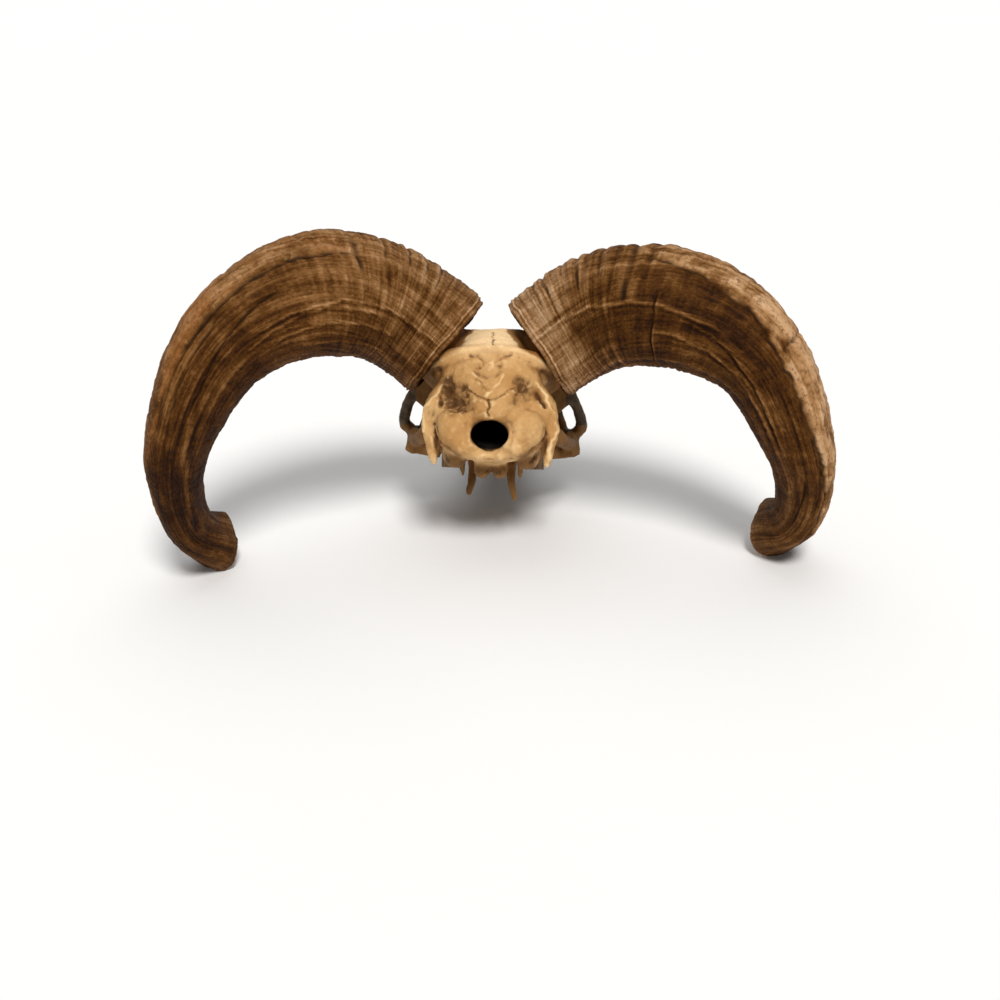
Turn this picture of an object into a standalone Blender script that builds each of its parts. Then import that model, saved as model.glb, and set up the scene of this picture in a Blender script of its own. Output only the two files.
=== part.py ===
"""Skull of a bighorn ram without its lower jaw: the bone, two horn sheaths and twelve upper cheek teeth.

Everything is drawn in the skull's own frame in millimetres: the origin is the middle of the foramen
magnum, +X is the viewer's right from behind, +Y runs to the nose and +Z is up from the palate.
The rest frame then pitches the nose down until both horns and the nose touch the ground.
"""
import math

import bmesh
import bpy
from mathutils import Matrix, Vector

MM = 0.001

# How the skull lies: nose down, and leaning a little to its smaller horn
REST_PITCH = 12.34
REST_LEAN = 1.34

# The bone
UNEVEN = -0.025          # the right side of this skull sits a little lower than the left
SWING = 0.013            # and its nose swings a little to the right
BONE_GRAIN = 2.0         # the size that the joined lumps of bone are evened out to
BONE_FACES = 4200
FORAMEN_HALF = (12.0, 10.0)

# The horns. Each row is one cut across the horn, from its base to its broken tip:
# the middle (outwards, forwards, up), half its width seen from behind, half its depth,
# and the turn in degrees of the edge between its front and back faces from the outer side.
LEFT_HORN = (
    (29, 59, 48, 38, 44, 0),
    (59.5, 22.5, 77, 37, 42, 4),
    (96, -5.5, 90, 38, 39, 14),
    (134, -25, 83, 35, 36, 34),
    (167, -35, 57, 29.5, 33, 52),
    (189, -31, 16, 23, 29, 64),
    (199.5, -13, -23, 17.5, 25, 70),
    (198.5, 17, -60.5, 15, 22, 76),
    (186, 49, -84.5, 16, 19, 82),
)
RIGHT_HORN = (
    (32, 59, 46, 36.5, 43, 0),
    (63.5, 22.5, 72, 36.5, 41, 4),
    (98, -3.5, 82, 37, 38, 14),
    (136, -20, 75, 34.5, 35, 34),
    (168.5, -27, 50.5, 29, 32, 52),
    (189, -22, 12, 24, 28, 64),
    (201, -3, -26, 18.5, 25, 70),
    (201, 21, -56.5, 16, 22, 76),
    (191, 49, -75, 16.5, 19, 82),
)
SIGHT = Vector((0.0, math.cos(math.radians(12.0)), -math.sin(math.radians(12.0))))
HORN_SIDES = 20
RIDGE_STEP = (4.6, 6.4)  # from a growth ridge to the next valley, at the base and at the tip
RIDGE_RISE = (1.0, 0.4)
HOOK_RISE = 0.40         # the broken tip's corner, as a share of its half width
HOOK_TURN = 212.0        # and its place round the tip in degrees
RIM_SAG = 0.05           # how far the back of the base rim comes down over the skull
CORE_REACH = 0.085       # how far the bony core reaches into its sheath, as a share of the horn
CORE_FIT = 0.56
CORE_SINK = 6.0          # the core stands this far from the sheath's middle, to its inner side
GAP = 0.45

# The cheek teeth, from the first premolar of the row to the last molar: length and width of each
TEETH = (
    ("P2", 9.5, 8.5),
    ("P3", 11.5, 10.5),
    ("P4", 12.5, 12.0),
    ("M1", 15.0, 13.5),
    ("M2", 18.0, 14.5),
    ("M3", 19.5, 14.0),
)
ROW_FRONT = (17.5, 181.0)
ROW_BACK = (29.5, 94.0)
GUM_Z = -34.5
CROWN_DROP = 6.0
ROOT_RISE = 6.0
SOCKET_ROOM = 0.9


def smooth_row(rows, place):
    """The row at a place from 0 to 1 along evenly spaced rows, on the natural cubic through them."""
    count = len(rows) - 1
    spot = place * count
    first = min(max(int(math.floor(spot)), 0), count - 1)
    part = spot - first
    result = []
    for column in range(len(rows[0])):
        values = [row[column] for row in rows]
        bends = natural_bends(values)
        low = 1.0 - part
        result.append(low * values[first] + part * values[first + 1]
                      + ((low ** 3 - low) * bends[first] + (part ** 3 - part) * bends[first + 1]) / 6.0)
    return result


def natural_bends(values):
    """Second differences of the natural cubic through evenly spaced values."""
    count = len(values)
    slope = [0.0] * count
    bend = [0.0] * count
    for i in range(1, count - 1):
        under = 4.0 - slope[i - 1]
        slope[i] = 1.0 / under
        rise = 6.0 * (values[i + 1] - 2.0 * values[i] + values[i - 1])
        bend[i] = (rise - bend[i - 1]) / under
    for i in range(count - 2, 0, -1):
        bend[i] -= slope[i] * bend[i + 1]
    return bend


def hump(turn, middle, width):
    """A smooth bump of height 1 on a circle of degrees."""
    off = (turn - middle + 180.0) % 360.0 - 180.0
    return math.exp(-(off / width) ** 2)


def horn_middle(rows, side, place):
    out, fore, up = smooth_row(rows, place)[:3]
    return Vector((side * out, fore, up))


def horn_ring(rows, side, place, count, scale=1.0, swell=0.0, sink=0.0):
    """Points around the horn at a place along it. Turn 0 is the outer side and 90 the back."""
    out, fore, up, half_width, half_depth, edge = smooth_row(rows, place)
    middle = Vector((side * out, fore, up))
    ahead = horn_middle(rows, side, place + 0.01) - horn_middle(rows, side, place - 0.01)
    ahead.normalize()
    outer = ahead.cross(SIGHT) * side
    outer.normalize()
    square_back = ahead.cross(outer) * side
    share = min(max(place / 0.35, 0.0), 1.0)
    share = share * share * (3.0 - 2.0 * share)
    rim_back = -SIGHT - RIM_SAG * (ahead - SIGHT * ahead.dot(SIGHT)).normalized()
    back = square_back.lerp(rim_back, 1.0 - share)
    back.normalize()
    hook = max(place - 0.93, 0.0) / 0.07
    points = []
    for step in range(count):
        turn = 360.0 * step / count
        shape = 1.0 + 0.07 * hump(turn, edge, 26.0) + 0.06 * hump(turn, edge - 105.0, 30.0)
        shape -= 0.04 * hump(turn, edge - 52.0, 30.0) + 0.05 * hump(turn, edge + 55.0, 34.0)
        shape += HOOK_RISE * hook * hump(turn, HOOK_TURN, 24.0)
        across = (half_width * shape * scale + swell) * math.cos(math.radians(turn)) - sink
        deep = (half_depth * shape * scale + swell) * math.sin(math.radians(turn))
        points.append(middle + outer * across + back * deep)
    return points


def sweep_rings(bm, rings):
    """A closed body: a circle laid on the first ring and extruded from ring to ring."""
    loop = bmesh.ops.create_circle(bm, cap_ends=True, segments=len(rings[0]), radius=1.0)["verts"]
    for vert, point in zip(loop, rings[0]):
        vert.co = point
    edges = [edge for edge in bm.edges if edge.verts[0] in loop and edge.verts[1] in loop]
    for ring in rings[1:]:
        made = bmesh.ops.extrude_edge_only(bm, edges=edges)["geom"]
        fresh = {item for item in made if isinstance(item, bmesh.types.BMVert)}
        edges = [item for item in made if isinstance(item, bmesh.types.BMEdge)
                 and item.verts[0] in fresh and item.verts[1] in fresh]
        following = []
        for old in loop:
            following.append(next(e.other_vert(old) for e in old.link_edges if e.other_vert(old) in fresh))
        for vert, point in zip(following, ring):
            vert.co = point
        loop = following
    bmesh.ops.contextual_create(bm, geom=edges)


def ball(bm, middle, radii, lean=0.0, tilt=0.0):
    """An egg of bone. Lean turns it about the length of the skull and tilt about its width."""
    place = (Matrix.Translation(middle) @ Matrix.Rotation(math.radians(lean), 4, "Y")
             @ Matrix.Rotation(math.radians(tilt), 4, "X") @ Matrix.Diagonal((*radii, 1.0)))
    bmesh.ops.create_icosphere(bm, subdivisions=3, radius=1.0, matrix=place)


def rod(bm, start, end, start_radius, end_radius):
    start = Vector(start)
    along = Vector(end) - start
    turn = along.to_track_quat("Z", "Y").to_matrix().to_4x4()
    bmesh.ops.create_cone(bm, cap_ends=True, segments=16, radius1=start_radius, radius2=end_radius,
                          depth=along.length, matrix=Matrix.Translation(start + along / 2) @ turn)


def limb(bm, path, radii):
    """A rounded rod of bone through some points, with its own radius at each."""
    for i in range(len(path) - 1):
        rod(bm, path[i], path[i + 1], radii[i], radii[i + 1])
    for point, radius in zip(path, radii):
        ball(bm, point, (radius, radius, radius))


def blade(bm, outline, thick):
    """A flat piece of bone: an outline of points with a thickness."""
    corners = [bm.verts.new(point) for point in outline]
    face = bm.faces.new(corners)
    face.normal_update()
    push = face.normal * thick
    for corner in corners:
        corner.co -= push / 2
    made = bmesh.ops.extrude_face_region(bm, geom=[face])["geom"]
    bmesh.ops.translate(bm, vec=push, verts=[v for v in made if isinstance(v, bmesh.types.BMVert)])


def barrel(bm, stations, count=32):
    """A body along the skull. A station is forwards, up, half width, half height, squareness."""
    rings = []
    for fore, up, wide, high, square in stations:
        ring = []
        for step in range(count):
            turn = 2.0 * math.pi * step / count
            cos, sin = math.cos(turn), math.sin(turn)
            x = wide * math.copysign(abs(cos) ** (2.0 / square), cos)
            z = high * math.copysign(abs(sin) ** (2.0 / square), sin)
            ring.append(Vector((x, fore, up + z)))
        rings.append(ring)
    sweep_rings(bm, rings)


def mirrored(point, side):
    return (side * point[0], point[1], point[2])


def cranium(bm):
    """Braincase, frontal roof and the back of the head up to its crest."""
    ball(bm, (0, 48, 18), (35, 47, 33))
    ball(bm, (0, 26, 32), (33, 17, 20))
    ball(bm, (0, 20, 30), (22, 11, 19))
    ball(bm, (0, 62, 38), (37, 34, 22))
    limb(bm, ((-19, 60, 56), (0, 60, 56.5), (19, 60, 57)), (5, 5, 5))
    ball(bm, (0, 94, 34), (42, 34, 17), tilt=-18)
    barrel(bm, ((20, -6, 34, 16, 2.2), (60, -8, 30, 18, 2.2), (104, -6, 22, 20, 2.2)))
    for side in (-1, 1):
        crest = [mirrored(p, side) for p in ((0, 24, 51.5), (15, 24, 50), (29, 27, 46.5), (42, 32, 39))]
        limb(bm, crest, (4.6, 4.8, 4.6, 3.6))
        ball(bm, mirrored((30, 42, 33), side), (9, 13, 8), lean=side * 35)
        ball(bm, mirrored((31, 24, 6), side), (11, 14, 17))


def occiput(bm):
    """Condyles about the foramen, the jugular processes and the base of the skull."""
    for side in (-1, 1):
        ball(bm, mirrored((23, 8, 3), side), (12.5, 10, 12.5), lean=side * 24)
        ball(bm, mirrored((15, 7, -7), side), (11, 11, 8.5), lean=side * 34)
        ball(bm, mirrored((6.5, 8, -14), side), (5.8, 9, 4.8))
        ridge = [mirrored(p, side) for p in ((31, 24, 30), (39, 21, 17), (41, 19, 2), (37.5, 14, -12))]
        limb(bm, ridge, (3.4, 4.0, 4.4, 4.2))
        limb(bm, [mirrored(p, side) for p in ((37.5, 14, -8), (37.5, 11, -16), (36.5, 10, -20.5))], (4.2, 3.6, 2.6))
        ball(bm, mirrored((6, 31, -28), side), (5.5, 9, 6.5))
        ball(bm, mirrored((24, 42, -19), side), (9, 14, 11))
        limb(bm, [mirrored(p, side) for p in ((20, 46, -25), (19, 49, -37))], (3.2, 1.7))
    ball(bm, (0, 11, 13), (15, 12, 6))
    barrel(bm, ((10, -14, 11, 6, 2.0), (34, -20, 11, 9, 2.0), (62, -22, 11, 9, 2.0), (92, -20, 12, 9, 2.0)))


def cheek(bm, side):
    """Cheek arch, the malar plate and the rim of the orbit with the bar behind it."""
    arch = ((36, 46, -2), (45, 54, -10), (50, 72, -17), (53, 92, -20), (53, 108, -22))
    limb(bm, [mirrored(p, side) for p in arch], (6.5, 5.2, 4.6, 5.0, 6.0))
    rim = ((47, 90, 29), (50, 91, 21), (54.5, 93, 12), (59, 95, 4), (62, 98, -6), (61.5, 104, -12),
           (57, 114, -18), (50, 125, -20), (43.5, 132, 1), (41.5, 131, 15), (44, 122, 27), (46, 105, 33), (47, 90, 29))
    limb(bm, [mirrored(p, side) for p in rim], (5.2, 4.8, 4.4, 4.0, 4.0, 4.2, 4.2, 4.2, 4.2, 4.2, 4.6, 5.0, 5.2))
    blade(bm, [mirrored(p, side) for p in ((54, 92, 8), (49, 92, 26), (30, 84, 36), (30, 82, 6), (44, 88, 0))], 6.0)
    blade(bm, [mirrored(p, side) for p in ((53, 92, -12), (57, 108, -16), (50, 128, -21),
                                           (45, 138, -30), (57.5, 112, -31), (58.5, 96, -30))], 6.0)
    blade(bm, [mirrored(p, side) for p in ((58, 98, -28.5), (46, 140, -26), (28, 138, -25), (36, 100, -32))], 7.0)
    ball(bm, mirrored((36, 104, 33), side), (17, 22, 8), lean=side * 18, tilt=-12)


def face(bm):
    """The face from the orbits to the nose, the nasal bones, tooth-bearing jaw and premaxillae."""
    barrel(bm, ((92, 18, 26, 26, 2.3), (112, 14, 27, 30, 2.4), (134, 4, 38, 30, 2.4), (152, -4, 34, 28, 2.4),
                (172, -11, 27, 22, 2.4), (192, -17, 21, 16, 2.3), (210, -22, 17.5, 11, 2.2)))
    nasal = ((118, 35, 16, 8, 2.0), (140, 28, 15, 7, 2.0), (165, 17, 14.5, 6, 2.0),
             (190, 4, 13, 5.5, 2.0), (212, -7, 10.5, 4.5, 2.0), (228, -14.5, 6.5, 3.2, 2.0))
    barrel(bm, nasal)
    for side in (-1, 1):
        limb(bm, [mirrored(p, side) for p in ((28, 96, -25), (29, 120, -25), (26, 150, -26),
                                              (19, 182, -27))], (10.0, 10.0, 9.5, 8.0))
        premaxilla = ((17, 178, -24), (17.5, 205, -31), (15.5, 228, -37), (12, 248, -41.5), (8.5, 259, -43))
        limb(bm, [mirrored(p, side) for p in premaxilla], (8.0, 6.0, 5.0, 4.2, 3.6))
        limb(bm, [mirrored(p, side) for p in ((13, 200, -14), (15, 214, -24), (15, 228, -34))], (4.5, 3.4, 3.6))
        limb(bm, [mirrored(p, side) for p in ((3.5, 205, -37), (3.5, 246, -43))], (3.4, 2.8))
    blade(bm, ((-26, 98, -30), (26, 98, -30), (17, 182, -31), (-17, 182, -31)), 7.0)
    blade(bm, ((-17, 178, -32), (17, 178, -32), (16, 210, -37), (-16, 210, -37)), 6.0)


def wings(bm, side):
    """The plates beside the rear nostrils that end in the two hooks under the skull."""
    blade(bm, [mirrored(p, side) for p in ((13, 62, -22), (13, 100, -20), (16, 104, -34),
                                           (14, 76, -40), (13, 60, -40))], 5.0)
    hook_drop = -50 if side < 0 else -53
    limb(bm, [mirrored(p, side) for p in ((12.5, 64, -30), (13.5, 58, -42), (15.5, 57, hook_drop))], (4.0, 3.0, 2.2))


def horn_core(bm, rows, side):
    """The bony core: the horn's own form, smaller, from inside the skull into the sheath."""
    rings = []
    for step in range(9):
        share = step / 8.0
        place = -0.10 + share * (0.10 + CORE_REACH)
        scale = CORE_FIT * (1.0 - 0.35 * max(share - 0.55, 0.0) / 0.45)
        rings.append(horn_ring(rows, side, place, 32, scale=scale, sink=CORE_SINK))
    sweep_rings(bm, rings)


def bone_solids(bm):
    cranium(bm)
    occiput(bm)
    face(bm)
    for side, rows in ((-1, LEFT_HORN), (1, RIGHT_HORN)):
        horn_core(bm, rows, side)


def bone_hollows(bm):
    """Foramen and braincase, temporal hollows, orbits, rear nostrils and the opening of the nose."""
    across, high = FORAMEN_HALF
    turn = Matrix.Translation((0, 8, -1)) @ Matrix.Rotation(math.radians(90 - 11), 4, "X")
    bmesh.ops.create_cone(bm, cap_ends=True, segments=40, radius1=1.0, radius2=1.0, depth=56.0,
                          matrix=turn @ Matrix.Diagonal((across, high, 1.0, 1.0)))
    ball(bm, (0, 52, 13), (26, 34, 26))
    barrel(bm, ((150, -14, 8, 8, 2.0), (178, -14, 11, 10, 2.0), (204, -18, 13, 12, 2.2),
                (232, -24, 12, 16, 2.2), (275, -30, 12, 22, 2.2)))
    barrel(bm, ((56, -31, 9, 9, 2.4), (96, -27, 9, 8, 2.4), (116, -24, 8, 6, 2.2)))
    for side in (-1, 1):
        ball(bm, mirrored((53, 113, 6), side), (27, 22, 19.5), lean=side * -6)
        ball(bm, mirrored((52, 70, 8), side), (16, 26, 17), lean=side * 8)
        ball(bm, mirrored((22, 4, 22), side), (8.5, 8, 6.5), lean=side * 20)
        limb(bm, [mirrored(p, side) for p in ((7.5, 212, -38), (7.5, 240, -44))], (3.0, 2.4))


def bone_trims(bm):
    """Thin parts added after the hollows are cut."""
    for side in (-1, 1):
        cheek(bm, side)
        wings(bm, side)


def new_object(name, bm):
    mesh = bpy.data.meshes.new(name)
    bmesh.ops.recalc_face_normals(bm, faces=bm.faces)
    bm.to_mesh(mesh)
    bm.free()
    part = bpy.data.objects.new(name, mesh)
    bpy.context.collection.objects.link(part)
    return part


def built(name, *makers):
    bm = bmesh.new()
    for maker in makers:
        maker(bm)
    return new_object(name, bm)


def bake_modifiers(part):
    """Turns the object's modifiers into its mesh."""
    shown = part.evaluated_get(bpy.context.evaluated_depsgraph_get())
    mesh = bpy.data.meshes.new_from_object(shown)
    part.modifiers.clear()
    part.data = mesh


def even_out(part, grain, smoothing):
    remesh = part.modifiers.new("even", "REMESH")
    remesh.mode = "VOXEL"
    remesh.voxel_size = grain
    if smoothing:
        smooth = part.modifiers.new("smooth", "SMOOTH")
        smooth.factor = 0.5
        smooth.iterations = smoothing
    bake_modifiers(part)


def cut(part, cutter, operation="DIFFERENCE", creased=False):
    """Cuts another body out of a part, or joins it on. A creased one may cross itself."""
    boolean = part.modifiers.new("cut", "BOOLEAN")
    boolean.operation = operation
    boolean.object = cutter
    boolean.use_self = creased
    bake_modifiers(part)


def discard(part):
    bpy.data.objects.remove(part)


def keep_largest(part):
    """Drops loose crumbs, keeping the one body with the most faces."""
    bm = bmesh.new()
    bm.from_mesh(part.data)
    left = set(bm.verts)
    bodies = []
    while left:
        body = set()
        front = [left.pop()]
        while front:
            vert = front.pop()
            body.add(vert)
            for edge in vert.link_edges:
                other = edge.other_vert(vert)
                if other in left:
                    left.remove(other)
                    front.append(other)
        bodies.append(body)
    bodies.sort(key=len, reverse=True)
    for body in bodies[1:]:
        bmesh.ops.delete(bm, geom=list(body), context="VERTS")
    bm.to_mesh(part.data)
    bm.free()


def tooth_middle(index):
    """Where a tooth stands in its row, and the row's turn there."""
    total = sum(length for _, length, _ in TEETH)
    before = sum(length for _, length, _ in TEETH[:index]) + TEETH[index][1] / 2.0
    share = before / total
    out = ROW_FRONT[0] + (ROW_BACK[0] - ROW_FRONT[0]) * share + 3.0 * math.sin(math.pi * share)
    fore = ROW_FRONT[1] + (ROW_BACK[1] - ROW_FRONT[1]) * share
    return out, fore, share


def tooth_frame(index, side):
    out, fore, share = tooth_middle(index)
    slope = (ROW_BACK[0] - ROW_FRONT[0]) + 3.0 * math.pi * math.cos(math.pi * share)
    turn = math.atan2(slope, ROW_FRONT[1] - ROW_BACK[1])
    return Matrix.Translation((side * out, fore, GUM_Z)) @ Matrix.Rotation(side * turn, 4, "Z")


def tooth(name, index, side):
    """One cheek tooth: a ridged block with a waist between its two lobes and a worn, notched crown."""
    _, length, width = TEETH[index]
    bm = bmesh.new()
    bmesh.ops.create_cube(bm, size=1.0)
    bmesh.ops.subdivide_edges(bm, edges=[e for e in bm.edges if abs(e.verts[0].co.y - e.verts[1].co.y) > 0.5],
                              cuts=3, use_grid_fill=True)
    for vert in bm.verts:
        lobe = abs(abs(vert.co.y) - 0.25) < 0.01
        end = abs(abs(vert.co.y) - 0.5) < 0.01
        waist = 1.0 if lobe else (0.80 if end else 0.76)
        worn = vert.co.z < 0
        cusp = 1.2 if lobe else -0.4
        vert.co.x *= (width - 2 * GAP) * waist
        vert.co.y *= length - 2 * GAP
        vert.co.z = -(CROWN_DROP + cusp) if worn else ROOT_RISE
    bm.transform(tooth_frame(index, side))
    crown = new_object(name, bm)
    uneven(crown)
    return crown


def tooth_socket(bm, side):
    """The groove of one tooth row."""
    rings = []
    for index in range(-1, len(TEETH) + 1):
        inner = min(max(index, 0), len(TEETH) - 1)
        _, length, width = TEETH[inner]
        frame = tooth_frame(inner, side)
        shift = -length / 2 * (inner - index)
        corners = ((-1, -14), (1, -14), (1, ROOT_RISE + GAP), (-1, ROOT_RISE + GAP))
        offset = -shift if index != inner else 0.0
        rings.append([frame @ Vector(((width / 2 + SOCKET_ROOM) * x, offset, z)) for x, z in corners])
    sweep_rings(bm, rings)


def uneven(part):
    """Gives bone and teeth the skull's own slight drop and swing to the right."""
    for vert in part.data.vertices:
        vert.co.z += UNEVEN * vert.co.x
        vert.co.x += SWING * vert.co.y


def skull():
    """All bone in one body."""
    bone = built("skull", bone_solids)
    even_out(bone, BONE_GRAIN, 4)
    hollows = built("hollows", bone_hollows)
    even_out(hollows, BONE_GRAIN, 0)
    cut(bone, hollows)
    discard(hollows)
    trims = built("trims", bone_trims)
    even_out(trims, BONE_GRAIN / 2, 2)
    cut(bone, trims, "UNION")
    discard(trims)
    even_out(bone, BONE_GRAIN * 0.7, 4)
    keep_largest(bone)
    uneven(bone)
    thin = bone.modifiers.new("facets", "DECIMATE")
    thin.ratio = BONE_FACES / sum(len(face.vertices) - 2 for face in bone.data.polygons)
    bake_modifiers(bone)
    for side in (-1, 1):
        socket = built("socket", lambda bm: tooth_socket(bm, side))
        uneven(socket)
        cut(bone, socket)
        discard(socket)
    keep_largest(bone)
    return bone


def horn(name, rows, side, bone):
    """One sheath: swept growth ridges, with the grown skull cut out of its base as its socket."""
    length = 0.0
    last = horn_middle(rows, side, 0.0)
    places = [0.0]
    marks = []
    for step in range(1, 401):
        place = step / 400.0
        here = horn_middle(rows, side, place)
        length += (here - last).length
        last = here
        marks.append((length, place))
    reach = 0.0
    for far, place in marks:
        step = RIDGE_STEP[0] + (RIDGE_STEP[1] - RIDGE_STEP[0]) * place
        if far - reach >= step:
            places.append(place)
            reach = far
    rings = []
    for index, place in enumerate(places):
        rise = RIDGE_RISE[0] + (RIDGE_RISE[1] - RIDGE_RISE[0]) * place
        swell = rise * (0.5 if index % 2 else -0.5)
        rings.append(horn_ring(rows, side, place, HORN_SIDES, swell=swell))
    rings.append(horn_ring(rows, side, 1.008, HORN_SIDES, scale=0.86))
    rings.append(horn_ring(rows, side, 1.014, HORN_SIDES, scale=0.55))
    sheath = built(name, lambda bm: sweep_rings(bm, rings))
    grown = bone.copy()
    grown.data = bone.data.copy()
    for vert in grown.data.vertices:
        vert.co += vert.normal * GAP
    bpy.context.collection.objects.link(grown)
    cut(sheath, grown, creased=True)
    discard(grown)
    keep_largest(sheath)
    return sheath


def finish(part, colour, roughness, rest):
    material = bpy.data.materials.new(part.name + "_finish")
    material.use_nodes = True
    shader = material.node_tree.nodes["Principled BSDF"]
    shader.inputs["Base Color"].default_value = (*colour, 1.0)
    shader.inputs["Roughness"].default_value = roughness
    shader.inputs["Metallic"].default_value = 0.0
    part.data.materials.clear()
    part.data.materials.append(material)
    for face in part.data.polygons:
        face.use_smooth = False
    part.data.transform(Matrix.Scale(MM, 4))
    part.parent = rest


def set_down(rest, pieces):
    """Moves the rest frame so that the lowest point is at height 0 under the middle of the whole box."""
    bpy.context.view_layer.update()
    corners = [piece.matrix_world @ vert.co for piece in pieces for vert in piece.data.vertices]
    low = [min(corner[axis] for corner in corners) for axis in range(3)]
    high = [max(corner[axis] for corner in corners) for axis in range(3)]
    rest.location = (-(low[0] + high[0]) / 2.0, -(low[1] + high[1]) / 2.0, -low[2])


def main():
    for old in list(bpy.data.objects):
        bpy.data.objects.remove(old)
    rest = bpy.data.objects.new("rest_frame", None)
    bpy.context.collection.objects.link(rest)
    rest.rotation_euler = (math.radians(-REST_PITCH), math.radians(REST_LEAN), 0.0)
    bone = skull()
    sheaths = [horn("horn_left", LEFT_HORN, -1, bone), horn("horn_right", RIGHT_HORN, 1, bone)]
    crowns = []
    for side, word in ((-1, "left"), (1, "right")):
        for index, (label, _, _) in enumerate(TEETH):
            crowns.append(tooth("tooth_" + word + "_" + label, index, side))
    finish(bone, (0.62, 0.43, 0.22), 0.6, rest)
    for sheath in sheaths:
        finish(sheath, (0.20, 0.10, 0.045), 0.55, rest)
    for crown in crowns:
        finish(crown, (0.72, 0.62, 0.42), 0.35, rest)
    set_down(rest, [bone, *sheaths, *crowns])


main()
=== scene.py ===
"""The looks of a painted bighorn sheep skull: aged bone, a coated face, two horns and the cheek teeth.

Like the solids, each piece is drawn in the skull's own frame in millimetres: the origin is the middle of
the foramen magnum, +X is the viewer's right from behind, +Y runs to the nose and +Z is up from the palate.
It is then laid down as the skull rests, nose down on both horns, in metres.
"""

import math

import bmesh
import bpy
import numpy as np
from mathutils import Matrix, Vector, noise
from mathutils.bvhtree import BVHTree


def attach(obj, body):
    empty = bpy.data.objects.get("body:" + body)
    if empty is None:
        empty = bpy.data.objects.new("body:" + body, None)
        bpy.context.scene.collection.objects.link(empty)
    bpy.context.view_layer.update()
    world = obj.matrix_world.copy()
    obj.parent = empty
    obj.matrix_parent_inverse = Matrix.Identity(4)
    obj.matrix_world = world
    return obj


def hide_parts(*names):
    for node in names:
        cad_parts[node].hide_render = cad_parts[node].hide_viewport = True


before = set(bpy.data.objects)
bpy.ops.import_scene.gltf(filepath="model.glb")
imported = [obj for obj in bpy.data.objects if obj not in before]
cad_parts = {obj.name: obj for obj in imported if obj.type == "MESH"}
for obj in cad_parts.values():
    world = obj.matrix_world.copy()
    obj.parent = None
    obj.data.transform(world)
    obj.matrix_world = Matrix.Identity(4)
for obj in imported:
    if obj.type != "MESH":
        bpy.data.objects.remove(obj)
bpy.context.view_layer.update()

MM = 0.001
REST_PITCH = math.radians(-12.34)
REST_LEAN = math.radians(1.34)
FORAMEN_PLACE = Vector((-0.000607, -0.094954, 0.100722))

# The camera looks at the back of the skull, a little down on it
LOOK_DOWN = math.radians(12.0)
CAMERA_FAR = 1100.0
FOCAL_PIXELS = 1719.0
FORAMEN_OFF_CENTRE = (10.0, 65.0)
PICTURE = 1000.0
SENSOR = 36.0
SIGHT = Vector((0.0, math.cos(LOOK_DOWN), -math.sin(LOOK_DOWN)))
RISE = Vector((0.0, math.sin(LOOK_DOWN), math.cos(LOOK_DOWN)))

# The bone
UNEVEN = -0.025          # how much the skull drops for each mm to the right
SWING = 0.013            # and how much it swings to the right for each mm forwards
BONE_GRAIN = 1.05        # the size of its facets
ROUGH_GRAIN = BONE_GRAIN * 1.3
BONE_FACES = 186000
BARREL_SIDES = 48
FORAMEN_HALF = (12.3, 9.7)
DEEP_START = 64.0        # nothing is carved further forwards than this
# Rays for the painted shade of places that bone and horn close in
OCCLUSION_RAYS = 14        # directions tried from each point, and how far
OCCLUSION_REACH = 48.0
GOLDEN_TURN = 2.399963
# Painted shadow on the roots of the horns beside the sheaths' rims
RIM_SHADOW_DEEP = 92.0      # where the dark roots of the horns end
RIM_SHADOW_REACH = 20.0     # and how far from the sheaths they go
OPEN_AIR = 999.0         # the distance to a sheath that is out of reach

# One row is one cut across a horn, from base to broken tip: the middle (outwards, forwards, up), half
# its width seen from behind, half its depth, and the turn of its outer edge in degrees.
LEFT_HORN = (
    (29, 59, 48, 38, 44, 0),
    (59.5, 22.5, 77, 37, 42, 4),
    (96, -5.5, 90, 38, 39, 14),
    (134, -25, 83, 35, 36, 34),
    (167, -35, 57, 29.5, 33, 52),
    (189, -31, 16, 23, 29, 64),
    (199.5, -13, -23, 17.5, 25, 70),
    (198.5, 17, -60.5, 15, 22, 76),
    (186, 49, -84.5, 16, 19, 82),
)
RIGHT_HORN = (
    (32, 59, 46, 36.5, 43, 0),
    (63.5, 22.5, 72, 36.5, 41, 4),
    (98, -3.5, 82, 37, 38, 14),
    (136, -20, 75, 34.5, 35, 34),
    (168.5, -27, 50.5, 29, 32, 52),
    (189, -22, 12, 24, 28, 64),
    (201, -3, -26, 18.5, 25, 70),
    (201, 21, -56.5, 16, 22, 76),
    (191, 49, -75, 16.5, 19, 82),
)

# A place along a horn is its share of the way from base to tip
HOOK_RISE = 0.40         # the broken tip's corner, as a share of its half width
HOOK_TURN = 212.0        # and its place round the tip in degrees
HOOK_START = 0.93
HOOK_LENGTH = 0.07
RIM_SAG = 0.05
RIM_TURNED = 0.35        # up to this place a cut leans towards the viewer
CORE_START = -0.10
CORE_REACH = 0.085
CORE_FIT = 0.56          # the core's size beside the horn's own
CORE_SINK = 6.0
CORE_SIDES = 48
CORE_RINGS = 9
HORN_SIDES = 184
HORN_RINGS = 490
RING_CROWDING = 1.04     # above 1 the rings lie closer together at the base
STATIONS = 7             # cuts between which one wavy ring is drawn
WALL = 5.0               # the sheath's wall at its rim, and what it gains down in the pocket
WALL_GAIN = 4.0
POCKET_RINGS = 14
POCKET_DEEPER = 0.035    # how much deeper the pocket is than the core
POCKET_NARROWING = 0.16
BONE_CLEAR = 1.4         # the sheath starts this far from the bone
GRAIN_ROUND = 30         # radius of the even bar on which the horn's unevenness is drawn

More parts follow.
